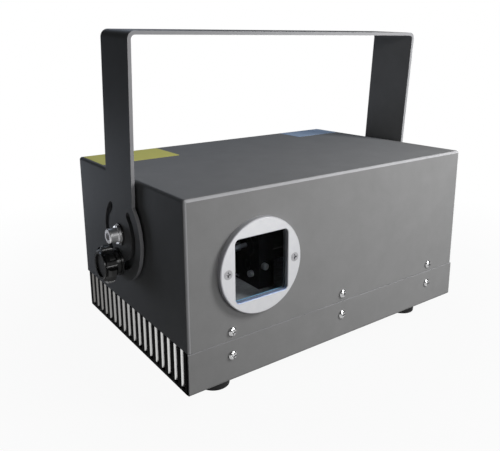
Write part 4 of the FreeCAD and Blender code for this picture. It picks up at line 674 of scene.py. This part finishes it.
# %% [markdown]
# ## Bezel of the display
# The display's window has a thin moulded bezel with a sloped outer edge. A bevelled box with a hole
# cut in it would do, but the loops are here already: rounded rectangles, one inside the other, make
# a raised frame whose outline follows the display.

# %% Bezel
BEZEL_WIDTH, BEZEL_RISE, WINDOW_PROUD = 2.0 * MM, 0.25 * MM, 0.8 * MM
OUTER_CORNER, SLOPE_CORNER, INNER_CORNER = 1.6 * MM, 1.2 * MM, 0.5 * MM
SLOPE_INSET, SLOPE_START = 0.5 * MM, 0.3 * MM
low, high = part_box("display")


def inset_outline(inset, radius):
    """The display's outline, moved inwards."""
    return rounded_outline(low.x + inset, high.x - inset, low.z + inset, high.z - inset, radius)


outer = inset_outline(0.0, OUTER_CORNER)
sloped = inset_outline(SLOPE_INSET, SLOPE_CORNER)
inner = inset_outline(BEZEL_WIDTH, INNER_CORNER)
panel_face = high.y - WINDOW_PROUD
bezel_top = high.y + BEZEL_RISE
shape = bmesh.new()
loops = [ring_of(shape, outline, y) for outline, y in (
    (outer, panel_face), (outer, high.y - SLOPE_START), (sloped, bezel_top), (inner, bezel_top),
    (inner, panel_face))]
for one, other in zip(loops, loops[1:] + loops[:1]):
    join_rings(shape, one, other)
new_piece("display_bezel", shape, "button_plastic")
print("bezel", round((high.x - low.x) / MM, 1), "mm wide")

# %% [markdown]
# ## Backdrop
# The photograph is a studio cut-out on white. A plain white world would also light the object from
# all sides and wash it out. So the room is white only for what the camera, the gloss and the glass
# look at, and gives no light. Gloss sees only a little of it, as it would of a dark studio.

# %% White room
ROOM_GLOSS_SHARE = 0.06
scene = bpy.context.scene
scene.view_settings.view_transform = "Standard"


def looked_at(tree, gloss_share):
    """One where the camera looks, a share of one for gloss and glass, and zero for light."""
    rays = add_node(tree, "ShaderNodeLightPath")
    shiny = add_node(tree, "ShaderNodeMath", {"operation": "MAXIMUM"},
                     {0: rays.outputs["Is Glossy Ray"], 1: rays.outputs["Is Transmission Ray"]})
    gloss = add_node(tree, "ShaderNodeMath", {"operation": "MULTIPLY", 1: gloss_share},
                     {0: shiny.outputs[0]})
    seen = add_node(tree, "ShaderNodeMath", {"operation": "MAXIMUM"},
                    {0: rays.outputs["Is Camera Ray"], 1: gloss.outputs[0]})
    return seen.outputs[0]


room = bpy.data.worlds.new("studio_room")
scene.world = room
room.use_nodes = True
backdrop = room.node_tree.nodes["Background"]
backdrop.inputs["Color"].default_value = linear("ffffff")
room.node_tree.links.new(looked_at(room.node_tree, ROOM_GLOSS_SHARE), backdrop.inputs["Strength"])
print("backdrop:", room.name)

# %% [markdown]
# ## Floor
# The box stands on white paper. Paper alone would show its edge and its own shading, and no floor at
# all would leave the box in the air. So the floor is a blend: it looks white, but keeps a soft shadow
# under the feet, and melts into the backdrop further out. Gloss sees most of it, as pale paper fills
# the lower half of every reflection.

# %% Paper floor
FLOOR_HALF, FLOOR_CELLS = 3.0, 8
FLOOR_GLOSS_SHARE = 0.8
SHADOW_NEAR, SHADOW_FAR, NEAR_WHITE_SHARE = 0.15, 0.45, 0.94
shape = bmesh.new()
bmesh.ops.create_grid(shape, x_segments=FLOOR_CELLS, y_segments=FLOOR_CELLS, size=FLOOR_HALF)
mesh = bpy.data.meshes.new("studio_floor")
shape.to_mesh(mesh)
shape.free()
floor = bpy.data.objects.new("studio_floor", mesh)
scene.collection.objects.link(floor)
# White paper: no gloss, and no edge that the eye could find.
paper = bpy.data.materials.new("paper_backdrop_white")
paper.use_nodes = True
tree = paper.node_tree
tree.nodes.remove(tree.nodes["Principled BSDF"])
place = add_node(tree, "ShaderNodeTexCoord")
reach = add_node(tree, "ShaderNodeVectorMath", {"operation": "LENGTH"}, {0: place.outputs["Object"]})
melt = add_node(tree, "ShaderNodeMapRange",
                {"From Min": SHADOW_NEAR, "From Max": SHADOW_FAR,
                 "To Min": NEAR_WHITE_SHARE, "To Max": 1.0},
                {"Value": reach.outputs["Value"]})
share = add_node(tree, "ShaderNodeMath", {"operation": "MULTIPLY"},
                 {0: looked_at(tree, FLOOR_GLOSS_SHARE), 1: melt.outputs["Result"]})
matt = add_node(tree, "ShaderNodeBsdfDiffuse", {"Color": linear("9a9a9a")})
white = add_node(tree, "ShaderNodeEmission", {"Color": linear("ffffff"), "Strength": 1.0})
blend = add_node(tree, "ShaderNodeMixShader", None,
                 {0: share.outputs[0], 1: matt.outputs[0], 2: white.outputs[0]})
tree.links.new(blend.outputs[0], tree.nodes["Material Output"].inputs["Surface"])
mesh.materials.append(paper)
print("floor", 2 * FLOOR_HALF, "m wide")

# %% [markdown]
# ## Lamps
# A picture of a studio could light the scene, but a few soft lamps are easier to place. The main one
# is at the front right and near, so the front is brightest at its upper right corner, and a low, wide
# one fills. A lamp in line with the left side grazes it and lights the knob, the bolt and the edges
# of the strap. A lamp above and behind, to the right, lights the lid half as much as the front. The
# left side is in shade, and a small lamp low behind it lifts its far end. The two lamps at the back
# are a shade cooler, as the shaded faces are in the photograph.

# %% Softboxes
LAMP_TARGET = Vector((0.0, -0.06, 0.08))


def softbox(name, place, width, height, watts, colour="ffffff"):
    """A rectangular soft lamp at a place in metres, turned to face the front of the housing."""
    lamp = bpy.data.lights.new(name, "AREA")
    lamp.color = linear(colour)[:3]
    lamp.shape = "RECTANGLE"
    lamp.size = width
    lamp.size_y = height
    lamp.energy = watts
    holder = bpy.data.objects.new(name, lamp)
    scene.collection.objects.link(holder)
    holder.location = place
    holder.rotation_euler = (LAMP_TARGET - Vector(place)).to_track_quat("-Z", "Y").to_euler()


softbox("key_softbox", (0.2, -0.34, 0.31), width=0.14, height=0.18, watts=1.4)
softbox("low_front_lamp", (0.2, -0.8, 0.12), width=0.3, height=0.3, watts=1.1)
softbox("left_lamp", (-0.11, -0.9, 0.45), width=0.16, height=0.16, watts=1.65)
softbox("lid_softbox", (0.16, 0.7, 0.7), width=0.35, height=0.35, watts=2.3, colour="dae7fc")
softbox("low_back_lamp", (-0.25, 0.34, 0.05), width=0.12, height=0.12, watts=0.29, colour="e6eefc")

# %% [markdown]
# ## Camera
# The camera stands where the photograph was taken from: in front, to the left and a little above. It
# could be aimed by eye, but its place, turn and lens come from matching the corners of the box in the
# picture, so edges fall where they do there. A small lens shift puts the object in the frame as it is
# in the picture, without turning the camera.

# %% Photo camera
CAMERA_PLACE = (-0.2649, -0.3467, 0.2100)
YAW, PITCH, ROLL = (math.radians(angle) for angle in (34.12, 13.27, -0.77))
SENSOR_MM, FOCAL_MM = 36.0, 40.55
SHIFT_ACROSS, SHIFT_UP = 0.0414, -0.0868
NEAREST_SEEN = 0.01
lens = bpy.data.cameras.new("photo_camera")
lens.sensor_width = SENSOR_MM
lens.lens = FOCAL_MM
lens.shift_x = SHIFT_ACROSS
lens.shift_y = SHIFT_UP
lens.clip_start = NEAREST_SEEN
camera = bpy.data.objects.new("photo_camera", lens)
scene.collection.objects.link(camera)
scene.camera = camera
ahead = Vector((math.sin(YAW) * math.cos(PITCH), math.cos(YAW) * math.cos(PITCH), -math.sin(PITCH)))
right = Vector((math.cos(YAW), -math.sin(YAW), 0.0))
up = right.cross(ahead)
turned_right = math.cos(ROLL) * right + math.sin(ROLL) * up
turned_up = math.cos(ROLL) * up - math.sin(ROLL) * right
facing = Matrix((turned_right, turned_up, -ahead)).transposed()
camera.matrix_world = Matrix.Translation(CAMERA_PLACE) @ facing.to_4x4()
print("camera at", CAMERA_PLACE, "with a", FOCAL_MM, "mm lens")
